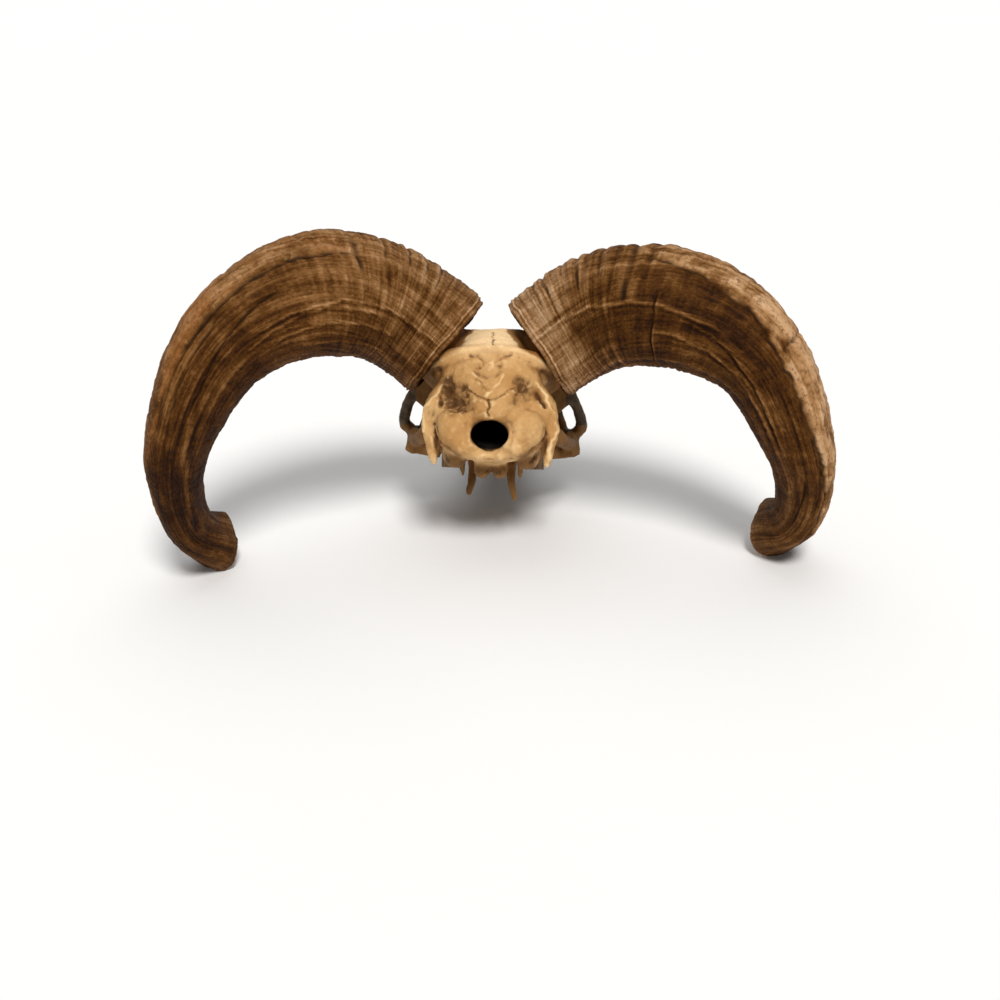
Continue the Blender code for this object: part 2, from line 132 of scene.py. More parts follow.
# The cheek teeth, from the first premolar to the last molar: length, width and lobes of each
TEETH = (
    ("P2", 9.5, 8.5, 1),
    ("P3", 11.5, 10.5, 1),
    ("P4", 12.5, 12.0, 1),
    ("M1", 15.0, 13.5, 2),
    ("M2", 18.0, 14.5, 2),
    ("M3", 19.5, 14.0, 2),
)
ROW_FRONT = (17.5, 181.0)
ROW_BACK = (29.5, 94.0)
ROW_BOW = 3.0
GUM_Z = -34.5
CROWN_DROP = 6.0
ROOT_RISE = 6.0
SOCKET_ROOM = 0.9
SOCKET_DROP = -14
TOOTH_GAP = 0.45
TOOTH_CUTS = ((0, 13), (1, 23), (2, 9))

# The studio, in metres
FLOOR_HALF = 9.0
FLOOR_RISE = (0.0, 1.2, 3.6)
FLOOR_UNDER = -0.0005

# The horns' colours from the darkest tone to the lightest
HORN_TONES = ((0.0, "160b04"), (0.18, "2d1503"), (0.38, "51300d"), (0.58, "7c552e"), (0.78, "a67f57"),
              (1.0, "cda984"))

KNOWN_BENDS = {}


def rest_matrix():
    turn = Matrix.Rotation(REST_LEAN, 4, "Y") @ Matrix.Rotation(REST_PITCH, 4, "X")
    return Matrix.Translation(FORAMEN_PLACE) @ turn


def natural_bends(values):
    """Second differences of the natural cubic through evenly spaced values."""
    count = len(values)
    slope = [0.0] * count
    bend = [0.0] * count
    for i in range(1, count - 1):
        under = 4.0 - slope[i - 1]
        slope[i] = 1.0 / under
        rise = 6.0 * (values[i + 1] - 2.0 * values[i] + values[i - 1])
        bend[i] = (rise - bend[i - 1]) / under
    for i in range(count - 2, 0, -1):
        bend[i] -= slope[i] * bend[i + 1]
    return bend


def smooth_row(rows, place):
    """The row at a place from 0 to 1 along evenly spaced rows, on the natural cubic through them."""
    count = len(rows) - 1
    spot = place * count
    first = min(max(int(math.floor(spot)), 0), count - 1)
    part = spot - first
    low = 1.0 - part
    result = []
    for values, bends in zip(zip(*rows), row_bends(rows)):
        result.append(low * values[first] + part * values[first + 1]
                      + ((low ** 3 - low) * bends[first] + (part ** 3 - part) * bends[first + 1]) / 6.0)
    return result


def row_bends(rows):
    if rows not in KNOWN_BENDS:
        KNOWN_BENDS[rows] = [natural_bends(values) for values in zip(*rows)]
    return KNOWN_BENDS[rows]


def bell(value, middle, width):
    """A smooth bump of height 1."""
    return np.exp(-((value - middle) / width) ** 2)


def hump(turn, middle, width):
    """The same bump on a circle of degrees."""
    return bell((turn - middle + 180.0) % 360.0 - 180.0, 0.0, width)


def soft_step(value, low, high):
    """From 0 at low to 1 at high."""
    share = np.clip((value - low) / (high - low), 0.0, 1.0)
    return share * share * (3.0 - 2.0 * share)


def soft_drop(value, low, high):
    """From 1 at low to 0 at high."""
    return soft_step(-value, -high, -low)


def horn_middle(rows, side, place):
    out, fore, up = smooth_row(rows, place)[:3]
    return Vector((side * out, fore, up))


def horn_cut(rows, side, place):
    """Middle, outer and back directions, half width, half depth and edge turn of one cut across a horn."""
    out, fore, up, half_width, half_depth, edge = smooth_row(rows, place)
    ahead = horn_middle(rows, side, place + 0.01) - horn_middle(rows, side, place - 0.01)
    ahead.normalize()
    outer = ahead.cross(SIGHT) * side
    outer.normalize()
    square_back = ahead.cross(outer) * side
    share = float(soft_step(place, 0.0, RIM_TURNED))
    rim_back = -SIGHT - RIM_SAG * (ahead - SIGHT * ahead.dot(SIGHT)).normalized()
    back = square_back.lerp(rim_back, 1.0 - share)
    back.normalize()
    return Vector((side * out, fore, up)), outer, back, half_width, half_depth, edge


def horn_outline(place, turns, edge):
    """The shape of a cut as a share of its half sizes: ridges at its edges, flats between them."""
    hook = max(place - HOOK_START, 0.0) / HOOK_LENGTH
    shape = 1.0 + 0.07 * hump(turns, edge, 26.0) + 0.06 * hump(turns, edge - 105.0, 30.0)
    shape -= 0.04 * hump(turns, edge - 52.0, 30.0) + 0.05 * hump(turns, edge + 55.0, 34.0)
    return shape + HOOK_RISE * hook * hump(turns, HOOK_TURN, 24.0)


def horn_points(rows, side, place, turns, scale=1.0, swell=0.0, sink=0.0):
    """Points around a horn, turn 0 on its outer side and 90 at its back, as rows of x, y, z."""
    middle, outer, back, half_width, half_depth, edge = horn_cut(rows, side, place)
    shape = horn_outline(place, turns, edge)
    across = (half_width * shape * scale + swell) * np.cos(np.radians(turns)) - sink
    deep = (half_depth * shape * scale + swell) * np.sin(np.radians(turns))
    return np.array(middle) + np.outer(across, np.array(outer)) + np.outer(deep, np.array(back))


def sweep_rings(bm, rings):
    """A closed body: a circle laid on the first ring and extruded from ring to ring. Gives the loops."""
    loop = bmesh.ops.create_circle(bm, cap_ends=True, segments=len(rings[0]), radius=1.0)["verts"]
    for vert, point in zip(loop, rings[0]):
        vert.co = point
    ring_set = set(loop)
    edges = [edge for edge in {e for v in loop for e in v.link_edges} if ring_set.issuperset(edge.verts)]
    loops = [loop]
    for ring in rings[1:]:
        made = bmesh.ops.extrude_edge_only(bm, edges=edges)["geom"]
        fresh = {item for item in made if isinstance(item, bmesh.types.BMVert)}
        edges = [item for item in made if isinstance(item, bmesh.types.BMEdge)
                 and item.verts[0] in fresh and item.verts[1] in fresh]
        following = []
        for old in loop:
            following.append(next(e.other_vert(old) for e in old.link_edges if e.other_vert(old) in fresh))
        for vert, point in zip(following, ring):
            vert.co = point
        loop = following
        loops.append(loop)
    bmesh.ops.contextual_create(bm, geom=edges)
    return loops


def ball(bm, middle, radii, lean=0.0, tilt=0.0):
    """An egg of bone. Lean turns it about the length of the skull and tilt about its width."""
    place = (Matrix.Translation(middle) @ Matrix.Rotation(math.radians(lean), 4, "Y")
             @ Matrix.Rotation(math.radians(tilt), 4, "X") @ Matrix.Diagonal((*radii, 1.0)))
    bmesh.ops.create_icosphere(bm, subdivisions=4, radius=1.0, matrix=place)


def limb(bm, path, radii):
    """A rounded rod of bone through some points, with its own radius at each."""
    points = [Vector(point) for point in path]
    for start, end, start_radius, end_radius in zip(points, points[1:], radii, radii[1:]):
        along = end - start
        turn = along.to_track_quat("Z", "Y").to_matrix().to_4x4()
        bmesh.ops.create_cone(bm, cap_ends=True, segments=24, radius1=start_radius, radius2=end_radius,
                              depth=along.length, matrix=Matrix.Translation(start + along / 2) @ turn)
    for point, radius in zip(path, radii):
        ball(bm, point, (radius, radius, radius))


def blade(bm, outline, thick):
    """A flat piece of bone: an outline of points with a thickness."""
    corners = [bm.verts.new(point) for point in outline]
    face = bm.faces.new(corners)
    face.normal_update()
    push = face.normal * thick
    for corner in corners:
        corner.co -= push / 2
    made = bmesh.ops.extrude_face_region(bm, geom=[face])["geom"]
    bmesh.ops.translate(bm, vec=push, verts=[v for v in made if isinstance(v, bmesh.types.BMVert)])


def barrel(bm, stations):
    """A body along the skull. A station is forwards, up, half width, half height, squareness."""
    rings = []
    for fore, up, wide, high, square in stations:
        ring = []
        for step in range(BARREL_SIDES):
            turn = 2.0 * math.pi * step / BARREL_SIDES
            cos, sin = math.cos(turn), math.sin(turn)
            x = wide * math.copysign(abs(cos) ** (2.0 / square), cos)
            z = high * math.copysign(abs(sin) ** (2.0 / square), sin)
            ring.append(Vector((x, fore, up + z)))
        rings.append(ring)
    sweep_rings(bm, rings)


def on_side(side, points):
    """Points drawn for the right side, taken to one side or the other."""
    return [(side * point[0], point[1], point[2]) for point in points]


def side_ball(bm, side, middle, radii, lean=0.0, tilt=0.0):
    ball(bm, on_side(side, [middle])[0], radii, side * lean, tilt)


def side_limb(bm, side, path, radii):
    limb(bm, on_side(side, path), radii)


def side_blade(bm, side, outline, thick):
    blade(bm, on_side(side, outline), thick)


def cranium(bm):
    """Braincase, frontal roof and the back of the head up to its crest."""
    ball(bm, (0, 48, 18), (35, 47, 33))
    ball(bm, (0, 26, 32), (33, 17, 20))
    ball(bm, (0, 20, 30), (22, 11, 19))
    ball(bm, (0, 62, 38), (37, 34, 22))
    limb(bm, ((-19, 60, 56), (0, 60, 56.5), (19, 60, 57)), (5, 5, 5))
    ball(bm, (0, 94, 34), (42, 34, 17), tilt=-18)
    barrel(bm, ((20, -6, 34, 16, 2.2), (60, -8, 30, 18, 2.2), (104, -6, 22, 20, 2.2)))
    for side in (-1, 1):
        side_limb(bm, side, ((0, 24, 51.5), (15, 24, 50), (29, 27, 46.5), (42, 32, 39)), (4.6, 4.8, 4.6, 3.6))
        side_ball(bm, side, (30, 42, 33), (9, 13, 8), lean=35)
        side_ball(bm, side, (31, 24, 6), (11, 14, 17))


def roof_fill(bm):
    """The flat roof between the crest and the forehead, and the lip under the foramen."""
    limb(bm, ((-8, 7, -14.6), (0, 6.5, -15.0), (8, 7, -14.6)), (3.4, 3.6, 3.4))
    barrel(bm, ((20, 43, 18, 12, 2.8), (30, 45, 21, 12.5, 2.8), (46, 47.5, 22, 12.5, 2.8),
                (62, 49, 21, 12.5, 2.8)))


def occiput(bm):
    """Condyles about the foramen, the jugular processes and the base of the skull."""
    for side in (-1, 1):
        side_ball(bm, side, (23, 8, 3), (12.5, 10, 12.5), lean=24)
        side_ball(bm, side, (15, 7, -7), (11, 11, 8.5), lean=34)
        side_ball(bm, side, (6.5, 8, -14), (5.8, 9, 4.8))
        side_limb(bm, side, ((31, 24, 30), (39, 21, 17), (41, 19, 2), (37.5, 14, -12)), (3.4, 4.0, 4.4, 4.2))
        side_limb(bm, side, ((37.5, 14, -8), (37.5, 11, -16), (36.5, 10, -20.5)), (4.2, 3.6, 2.6))
        side_ball(bm, side, (6, 31, -28), (5.5, 9, 6.5))
        side_ball(bm, side, (24, 42, -19), (9, 14, 11))
        side_limb(bm, side, ((20, 46, -25), (19, 49, -37)), (3.2, 1.7))
    ball(bm, (0, 11, 13), (15, 12, 6))
    barrel(bm, ((10, -14, 11, 6, 2.0), (34, -20, 11, 9, 2.0), (62, -22, 11, 9, 2.0), (92, -20, 12, 9, 2.0)))


def cheek(bm, side):
    """Cheek arch, the malar plate and the rim of the orbit with the bar behind it."""
    side_limb(bm, side, ((36, 46, -2), (45, 54, -10), (50, 72, -17), (53, 92, -20), (53, 108, -22)),
              (6.5, 5.2, 4.6, 5.0, 6.0))
    rim = ((47, 90, 29), (50, 91, 21), (54.5, 93, 12), (59, 95, 4), (62, 98, -6), (61.5, 104, -12),
           (57, 114, -18), (50, 125, -20), (43.5, 132, 1), (41.5, 131, 15), (44, 122, 27), (46, 105, 33),
           (47, 90, 29))
    side_limb(bm, side, rim, (5.2, 4.8, 4.4, 4.0, 4.0, 4.2, 4.2, 4.2, 4.2, 4.2, 4.6, 5.0, 5.2))
    side_blade(bm, side, ((54, 92, 8), (49, 92, 26), (30, 84, 36), (30, 82, 6), (44, 88, 0)), 6.0)
    side_blade(bm, side, ((53, 92, -12), (57, 108, -16), (50, 128, -21), (45, 138, -30), (57.5, 112, -31),
                          (58.5, 96, -30)), 6.0)
    side_blade(bm, side, ((58, 98, -28.5), (46, 140, -26), (28, 138, -25), (36, 100, -32)), 7.0)
    side_ball(bm, side, (36, 104, 33), (17, 22, 8), lean=18, tilt=-12)


def face(bm):
    """The face from the orbits to the nose, the nasal bones, tooth-bearing jaw and premaxillae."""
    barrel(bm, ((92, 18, 26, 26, 2.3), (112, 14, 27, 30, 2.4), (134, 4, 38, 30, 2.4), (152, -4, 34, 28, 2.4),
                (172, -11, 27, 22, 2.4), (192, -17, 21, 16, 2.3), (210, -22, 17.5, 11, 2.2)))
    barrel(bm, ((118, 35, 16, 8, 2.0), (140, 28, 15, 7, 2.0), (165, 17, 14.5, 6, 2.0),
                (190, 4, 13, 5.5, 2.0), (212, -7, 10.5, 4.5, 2.0), (228, -14.5, 6.5, 3.2, 2.0)))
    for side in (-1, 1):
        side_limb(bm, side, ((28, 96, -25), (29, 120, -25), (26, 150, -26), (19, 182, -27)),
                  (10.0, 10.0, 9.5, 8.0))
        side_limb(bm, side, ((17, 178, -24), (17.5, 205, -31), (15.5, 228, -37), (12, 248, -41.5),
                             (8.5, 259, -43)), (8.0, 6.0, 5.0, 4.2, 3.6))
        side_limb(bm, side, ((13, 200, -14), (15, 214, -24), (15, 228, -34)), (4.5, 3.4, 3.6))
        side_limb(bm, side, ((3.5, 205, -37), (3.5, 246, -43)), (3.4, 2.8))
    blade(bm, ((-26, 98, -30), (26, 98, -30), (17, 182, -31), (-17, 182, -31)), 7.0)
    blade(bm, ((-17, 178, -32), (17, 178, -32), (16, 210, -37), (-16, 210, -37)), 6.0)


def wings(bm, side):
    """The plates beside the rear nostrils that end in the two hooks under the skull."""
    side_blade(bm, side, ((13, 62, -22), (13, 100, -20), (16, 104, -34), (14, 76, -40), (13, 60, -40)), 5.0)
    hook_drop = -50 if side < 0 else -53
    side_limb(bm, side, ((12.5, 64, -30), (13.5, 58, -42), (15.5, 57, hook_drop)), (4.0, 3.0, 2.2))


def horn_core(bm, rows, side):
    """The bony core: the horn's own form, smaller, from inside the skull into the sheath."""
    turns = np.arange(CORE_SIDES) * 360.0 / CORE_SIDES
    rings = []
    for step in range(CORE_RINGS):
        share = step / (CORE_RINGS - 1.0)
        place = CORE_START + share * (CORE_REACH - CORE_START)
        scale = CORE_FIT * (1.0 - 0.35 * max(share - 0.55, 0.0) / 0.45)
        rings.append(horn_points(rows, side, place, turns, scale=scale, sink=CORE_SINK))
    sweep_rings(bm, rings)


def bone_solids(bm):
    cranium(bm)
    occiput(bm)
    face(bm)
    for side, rows in ((-1, LEFT_HORN), (1, RIGHT_HORN)):
        horn_core(bm, rows, side)


def bone_hollows(bm):
    """Foramen and braincase, temporal hollows, orbits, rear nostrils and the opening of the nose."""
    across, high = FORAMEN_HALF
    turn = Matrix.Translation((-0.5, 8, -1.6)) @ Matrix.Rotation(math.radians(90 - 11), 4, "X")
    bmesh.ops.create_cone(bm, cap_ends=True, segments=64, radius1=1.0, radius2=1.0, depth=56.0,
                          matrix=turn @ Matrix.Diagonal((across, high, 1.0, 1.0)))
    ball(bm, (0, 52, 13), (26, 34, 26))
    ball(bm, (0, 26, 0), (16, 12, 14))
    barrel(bm, ((150, -14, 8, 8, 2.0), (178, -14, 11, 10, 2.0), (204, -18, 13, 12, 2.2),
                (232, -24, 12, 16, 2.2), (275, -30, 12, 22, 2.2)))
    barrel(bm, ((56, -31, 9, 9, 2.4), (96, -27, 9, 8, 2.4), (116, -24, 8, 6, 2.2)))
    for side in (-1, 1):
        side_ball(bm, side, (53, 113, 6), (27, 22, 19.5), lean=-6)
        side_ball(bm, side, (52, 70, 8), (16, 26, 17), lean=8)
        side_ball(bm, side, (22, 4, 22), (8.5, 8, 6.5), lean=20)
        side_limb(bm, side, ((7.5, 212, -38), (7.5, 240, -44)), (3.0, 2.4))


def bone_trims(bm):
    """Thin parts added after the hollows are cut."""
    for side in (-1, 1):
        cheek(bm, side)
        wings(bm, side)


def new_object(name, bm):
    mesh = bpy.data.meshes.new(name)
    bmesh.ops.recalc_face_normals(bm, faces=bm.faces)
    bm.to_mesh(mesh)
    bm.free()
    piece = bpy.data.objects.new(name, mesh)
    bpy.context.collection.objects.link(piece)
    return piece


def built(name, *makers):
    bm = bmesh.new()
    for maker in makers:
        maker(bm)
    return new_object(name, bm)


def bake_modifiers(piece):
    """Turns the object's modifiers into its mesh."""
    shown = piece.evaluated_get(bpy.context.evaluated_depsgraph_get())
    mesh = bpy.data.meshes.new_from_object(shown)
    piece.modifiers.clear()
    piece.data = mesh


def even_out(piece, grain, smoothing):
    remesh = piece.modifiers.new("even", "REMESH")
    remesh.mode = "VOXEL"
    remesh.voxel_size = grain
    if smoothing:
        smooth = piece.modifiers.new("smooth", "SMOOTH")
        smooth.factor = 0.5
        smooth.iterations = smoothing
    bake_modifiers(piece)


def cut(piece, cutter, operation="DIFFERENCE"):
    """Cuts one body out of another, or joins it on, and drops the cutter."""
    boolean = piece.modifiers.new("cut", "BOOLEAN")
    boolean.operation = operation
    boolean.object = cutter
    bake_modifiers(piece)
    discard(cutter)


def discard(piece):
    bpy.data.objects.remove(piece)


def keep_largest(piece):
    """Drops loose crumbs, keeping the one body with the most points."""
    bm = bmesh.new()
    bm.from_mesh(piece.data)
    left = set(bm.verts)
    bodies = []
    while left:
        body = set()
        front = [left.pop()]
        while front:
            vert = front.pop()
            body.add(vert)
            for edge in vert.link_edges:
                other = edge.other_vert(vert)
                if other in left:
                    left.remove(other)
                    front.append(other)
        bodies.append(body)
    bodies.sort(key=len, reverse=True)
    for body in bodies[1:]:
        bmesh.ops.delete(bm, geom=list(body), context="VERTS")
    bm.to_mesh(piece.data)
    bm.free()


def read_rows(items, field):
    """Three numbers of each of the mesh's points, as rows of an array."""
    flat = np.empty(len(items) * 3, np.float32)
    items.foreach_get(field, flat)
    return flat.reshape(-1, 3).astype(float)


def spots(piece):
    """The places of the mesh's points."""
    return read_rows(piece.data.vertices, "co")


def facings(piece):
    """The directions that the mesh's points face."""
    return read_rows(piece.data.vertex_normals, "vector")


def move_spots(piece, places):
    piece.data.vertices.foreach_set("co", places.astype(np.float32).ravel())
    piece.data.update()


def push_out(piece, distances):
    """Moves each point along its own facing."""
    move_spots(piece, spots(piece) + facings(piece) * distances[:, None])


def paint(piece, name, values):
    """A value from 0 to 1 at each point, for the material to read."""
    layer = piece.data.attributes.get(name) or piece.data.attributes.new(name, "FLOAT", "POINT")
    layer.data.foreach_set("value", np.clip(values, 0.0, 1.0).astype(np.float32))


def rough(places, size, octaves=3, shift=0.0):
    """Smooth seeded noise from -1 to 1 at each place, size being the width of its bumps in mm."""
    moved = places / size + shift
    return np.array([noise.fractal(Vector(p), 1.0, 2.0, octaves) for p in moved])


def rough_at(place, size, octaves=3):
    """The same noise at one place."""
    return rough(np.array([place]), size, octaves)[0]


def line_distance(flat, path):
    """How far each flat point is from a path of flat points."""
    best = np.full(len(flat), 1e9)
    for start, end in zip(path[:-1], path[1:]):
        start = np.array(start, float)
        run = np.array(end, float) - start
        share = np.clip(((flat - start) @ run) / (run @ run), 0.0, 1.0)
        best = np.minimum(best, np.linalg.norm(flat - start - share[:, None] * run, axis=1))
    return best


def uneven(piece):
    """Gives bone and teeth the skull's own slight drop and swing to the right."""
    places = spots(piece)
    places[:, 2] += UNEVEN * places[:, 0]
    places[:, 0] += SWING * places[:, 1]
    move_spots(piece, places)


def tooth_frame(index, side):
    """Where a tooth stands in its row, turned along the row."""
    total = sum(row[1] for row in TEETH)
    share = (sum(row[1] for row in TEETH[:index]) + TEETH[index][1] / 2.0) / total
    out = ROW_FRONT[0] + (ROW_BACK[0] - ROW_FRONT[0]) * share + ROW_BOW * math.sin(math.pi * share)
    fore = ROW_FRONT[1] + (ROW_BACK[1] - ROW_FRONT[1]) * share
    slope = (ROW_BACK[0] - ROW_FRONT[0]) + ROW_BOW * math.pi * math.cos(math.pi * share)
    turn = math.atan2(slope, ROW_FRONT[1] - ROW_BACK[1])
    return Matrix.Translation((side * out, fore, GUM_Z)) @ Matrix.Rotation(side * turn, 4, "Z")


def tooth_socket(bm, side):
    """The groove of one tooth row."""
    top = ROOT_RISE + TOOTH_GAP
    rings = []
    for index in range(-1, len(TEETH) + 1):
        inner = min(max(index, 0), len(TEETH) - 1)
        _, length, width, _ = TEETH[inner]
        offset = length / 2 * (inner - index)
        corners = ((-1, SOCKET_DROP), (1, SOCKET_DROP), (1, top), (-1, top))
        place = tooth_frame(inner, side)
        rings.append([place @ Vector(((width / 2 + SOCKET_ROOM) * x, offset, z)) for x, z in corners])
    sweep_rings(bm, rings)


# Features on the back of the skull, as (right, up) in mm on the plane that the camera faces.
# A groove or ridge has its path, width and depth or height; a groove has its painted shade too.
GROOVES = (
    (((2.0, 69.0), (1.4, 66.0), (2.7, 63.5), (1.5, 61.0), (2.0, 59.0)), 0.85, 1.7, 0.95),
    (((-1.0, 22.0), (-6.0, 24.0), (-10.0, 26.5), (-15.0, 29.0), (-20.0, 31.0)), 0.9, 0.7, 0.50),
    (((-1.0, 22.0), (4.0, 23.0), (9.0, 26.0), (13.5, 30.0), (18.0, 31.0)), 0.9, 0.7, 0.45),
    (((-1.0, 22.0), (-0.4, 18.0), (-1.6, 15.0), (-0.6, 12.0)), 0.7, 1.1, 0.8),
    (((-12.5, 51.5), (-8.0, 51.5), (-5.0, 49.0), (-3.8, 45.5)), 1.5, 1.1, 0.36),
    (((13.5, 52.0), (8.0, 50.5), (4.2, 47.5)), 1.5, 1.0, 0.30),
    (((-10.0, 41.0), (-5.5, 37.6), (-1.0, 36.8), (4.0, 38.0), (8.5, 41.5)), 1.9, 1.0, 0.30),
    (((-8.5, 36.0), (-5.5, 33.0), (-2.2, 28.5)), 1.2, 0.8, 0.30),
    (((-24.0, 46.5), (-13.0, 52.6), (2.0, 53.4), (15.0, 52.2), (26.0, 46.0)), 3.0, 0.6, 0.10),
    (((30.0, 26.5), (33.0, 22.5), (36.0, 18.5)), 1.0, 2.2, 0.95),
    (((-36.2, 7.0), (-35.0, -2.0), (-33.2, -8.0), (-29.5, -15.5)), 1.7, 1.6, 0.85),
    (((35.8, 4.0), (35.4, -3.0), (33.6, -10.0), (27.0, -17.6)), 1.7, 1.6, 0.80),
    (((-14.5, 8.0), (-16.0, 2.0), (-15.0, -5.0)), 1.5, 0.6, 0.22),
    (((13.0, 8.0), (14.5, 1.0), (13.0, -6.0)), 1.5, 0.6, 0.22),
)
RIDGES = (
    (((-41.0, 44.0), (-33.0, 47.0), (-26.0, 50.0), (-11.7, 55.6), (2.0, 56.6), (17.6, 55.4), (29.0, 49.5),
      (41.0, 43.5)), 2.6, 0.7),
    (((-10.0, 39.5), (-6.5, 34.0), (-2.0, 25.5)), 1.4, 0.8),
    (((8.5, 39.0), (5.0, 33.5), (-0.5, 25.5)), 1.4, 0.8),
    (((-28.0, 36.0), (-36.0, 26.0), (-43.0, 17.0), (-43.0, 3.0)), 1.5, 1.2),
    (((30.0, 33.0), (36.0, 25.5), (40.5, 15.0), (43.0, 3.0), (38.0, -14.0)), 1.4, 1.3),
    (((-3.5, 24.5), (-11.0, 20.5), (-17.0, 13.5)), 3.0, 0.8),
    (((2.5, 20.0), (9.0, 18.5), (15.0, 15.0)), 3.0, 0.7),
)
# Hollows, knobs and pads: the middle, two radii, how far they sink (or rise, below zero) and their painted
# shade
DENTS = (
    ((-20.5, 21.5), (8.2, 6.8), 2.0, 0.95),
    ((-26.5, 31.5), (4.6, 7.6), 1.8, 0.95),
    ((-17.5, 29.5), (4.2, 4.6), 0.8, 0.65),
    ((-32.4, 22.4), (1.8, 4.2), 2.8, 1.0),
    ((21.5, 29.5), (5.6, 6.6), 1.6, 0.80),
    ((18.5, 35.5), (3.8, 3.6), 0.9, 0.6),
    ((17.0, 21.0), (5.5, 3.0), 0.9, 0.35),
    ((-7.3, 44.2), (2.6, 2.3), 1.6, 0.45),
    ((6.6, 44.2), (2.6, 2.3), 1.6, 0.4),
    ((0.2, 45.0), (3.0, 3.2), -1.1, 0.0),
    ((-14.0, 16.5), (4.5, 2.2), 0.9, 0.5),
    ((-0.6, -16.8), (3.6, 2.4), 1.0, 0.35),
    ((0.0, -22.5), (13.0, 3.0), 0.8, 0.55),
    ((-37.5, 13.0), (2.2, 3.2), 0.9, 0.45),
)


def back_plane(places):
    """Right and up on the plane that the camera faces."""
    return np.stack([places[:, 0], places @ np.array(RISE)], axis=1)


def carve_back(piece):
    """Seams, ridges, hollows and pits on the back of the head. Gives the painted shade in them at each point.
    """
    places = spots(piece)
    toward = np.clip(-(facings(piece) @ np.array(SIGHT)) * 2.0, 0.0, 1.0) * (places[:, 1] < DEEP_START)
    flat = back_plane(places)
    wiggle = np.stack([rough(places, 3.0), rough(places, 3.0, shift=31.0)], axis=1)
    bent = flat + 0.6 * wiggle
    loose = flat + 1.6 * np.stack([rough(places, 7.0, 2, shift=shift) for shift in (3.0, 40.0)], axis=1)
    push = np.zeros(len(places))
    seam_shade = np.zeros(len(places))
    for path, width, depth, shade_share in GROOVES:
        near = bell(line_distance(bent, path), 0.0, width) * toward
        push -= depth * near
        seam_shade = np.maximum(seam_shade, shade_share * near)
    for path, width, height in RIDGES:
        push += height * bell(line_distance(loose, path), 0.0, width) * toward
    for middle, radii, depth, shade_share in DENTS:
        off = (loose - np.array(middle)) / np.array(radii) + 0.35 * wiggle
        near = np.exp(-(off ** 2).sum(1)) * toward
        push -= depth * near
        seam_shade = np.maximum(seam_shade, shade_share * near)
    crumbs = rough(places, 2.6, shift=17.0)
    push += 1.1 * crumbs * np.clip(seam_shade - 0.12, 0.0, 0.6)
    push_out(piece, push)
    return np.clip(seam_shade * (1.0 - 0.7 * crumbs), 0.0, 1.0)


def weather_bone(piece):
    """Small lumps, pits and grain all over the bone."""
    places = spots(piece)
    push_out(piece, 0.6 * rough(places, 15.0) + 0.30 * rough(places, 4.5, shift=7.0))


def hollowness(piece, passes, reach):
    """From 0 on a crest to 1 in a crease: how far each point lies under its smoothed neighbourhood."""
    smoothed = piece.copy()
    smoothed.data = piece.data.copy()
    bpy.context.collection.objects.link(smoothed)
    relax = smoothed.modifiers.new("relax", "SMOOTH")
    relax.factor = 0.5
    relax.iterations = passes
    bake_modifiers(smoothed)
    off = ((spots(smoothed) - spots(piece)) * facings(piece)).sum(1)
    discard(smoothed)
    return np.clip(0.5 + 0.5 * off / reach, 0.0, 1.0)


def tree_of(pieces):
    """All faces of some pieces, to look for what stands near or in the way."""
    corners = []
    faces = []
    for piece in pieces:
        first = len(corners)
        corners.extend(vert.co.copy() for vert in piece.data.vertices)
        faces.extend(tuple(first + corner for corner in face.vertices) for face in piece.data.polygons)
    return BVHTree.FromPolygons(corners, faces)


def softened(piece, values, passes):
    """Evens out a value over the mesh's edges."""
    ends = np.empty(len(piece.data.edges) * 2, np.int32)
    piece.data.edges.foreach_get("vertices", ends)
    first, second = ends.reshape(-1, 2).T
    size = len(values)
    count = np.bincount(first, minlength=size) + np.bincount(second, minlength=size)
    for _ in range(passes):
        around = np.bincount(first, values[second], size) + np.bincount(second, values[first], size)
        values = 0.4 * values + 0.6 * around / np.maximum(count, 1)
    return values


def occlusion_shading(piece, tree, rays, reach):
    """From 0 in the open to 1 where bone and horn close a point in on all sides: painted shade."""
    places = spots(piece)
    faces = facings(piece)
    turns = np.arange(rays) * GOLDEN_TURN
    high = 1.0 - (np.arange(rays) + 0.5) / rays
    flat = np.sqrt(1.0 - high)
    fan = np.stack([flat * np.cos(turns), flat * np.sin(turns), np.sqrt(high)], axis=1)
    side = np.cross(faces, np.where(np.abs(faces[:, :1]) < 0.8, (1.0, 0.0, 0.0), (0.0, 1.0, 0.0)))
    side /= np.maximum(np.linalg.norm(side, axis=1, keepdims=True), 1e-6)
    up = np.cross(faces, side)
    starts = [Vector(p) for p in places + 0.4 * faces]
    closed = np.zeros(len(places))
    for across, along, out in fan:
        ways = across * side + along * up + out * faces
        for index, (start, way) in enumerate(zip(starts, ways.tolist())):
            distance = tree.ray_cast(start, way, reach)[3]
            if distance is not None:
                closed[index] += 1.0 - 0.5 * distance / reach
    return softened(piece, closed / rays, 3)


# The edge of the bone left without painted shade towards the horns on the back plane, as (up, right)
UNSHADED_LEFT = ((8.0, -45.0), (17.0, -43.5), (26.0, -37.0), (34.0, -31.0), (39.0, -30.5), (42.0, -35.0),
              (45.0, -42.0), (50.0, -37.0), (52.0, -30.0), (58.0, -23.0), (60.5, -16.5), (64.5, -15.5),
              (70.0, -11.0))
UNSHADED_RIGHT = ((8.0, 45.5), (17.0, 43.0), (23.5, 38.5), (31.0, 38.0), (38.0, 39.0), (43.5, 43.5),
               (53.5, 26.0), (58.0, 18.5), (70.0, 10.5))


def past_unshaded(places):
    """How far in mm each place lies outside the part of the back of the head left without painted shade."""
    right, up = back_plane(places).T
    left_edge = np.interp(up, *zip(*UNSHADED_LEFT))
    right_edge = np.interp(up, *zip(*UNSHADED_RIGHT))
    return np.where(right < 0.0, left_edge - right, right - right_edge)


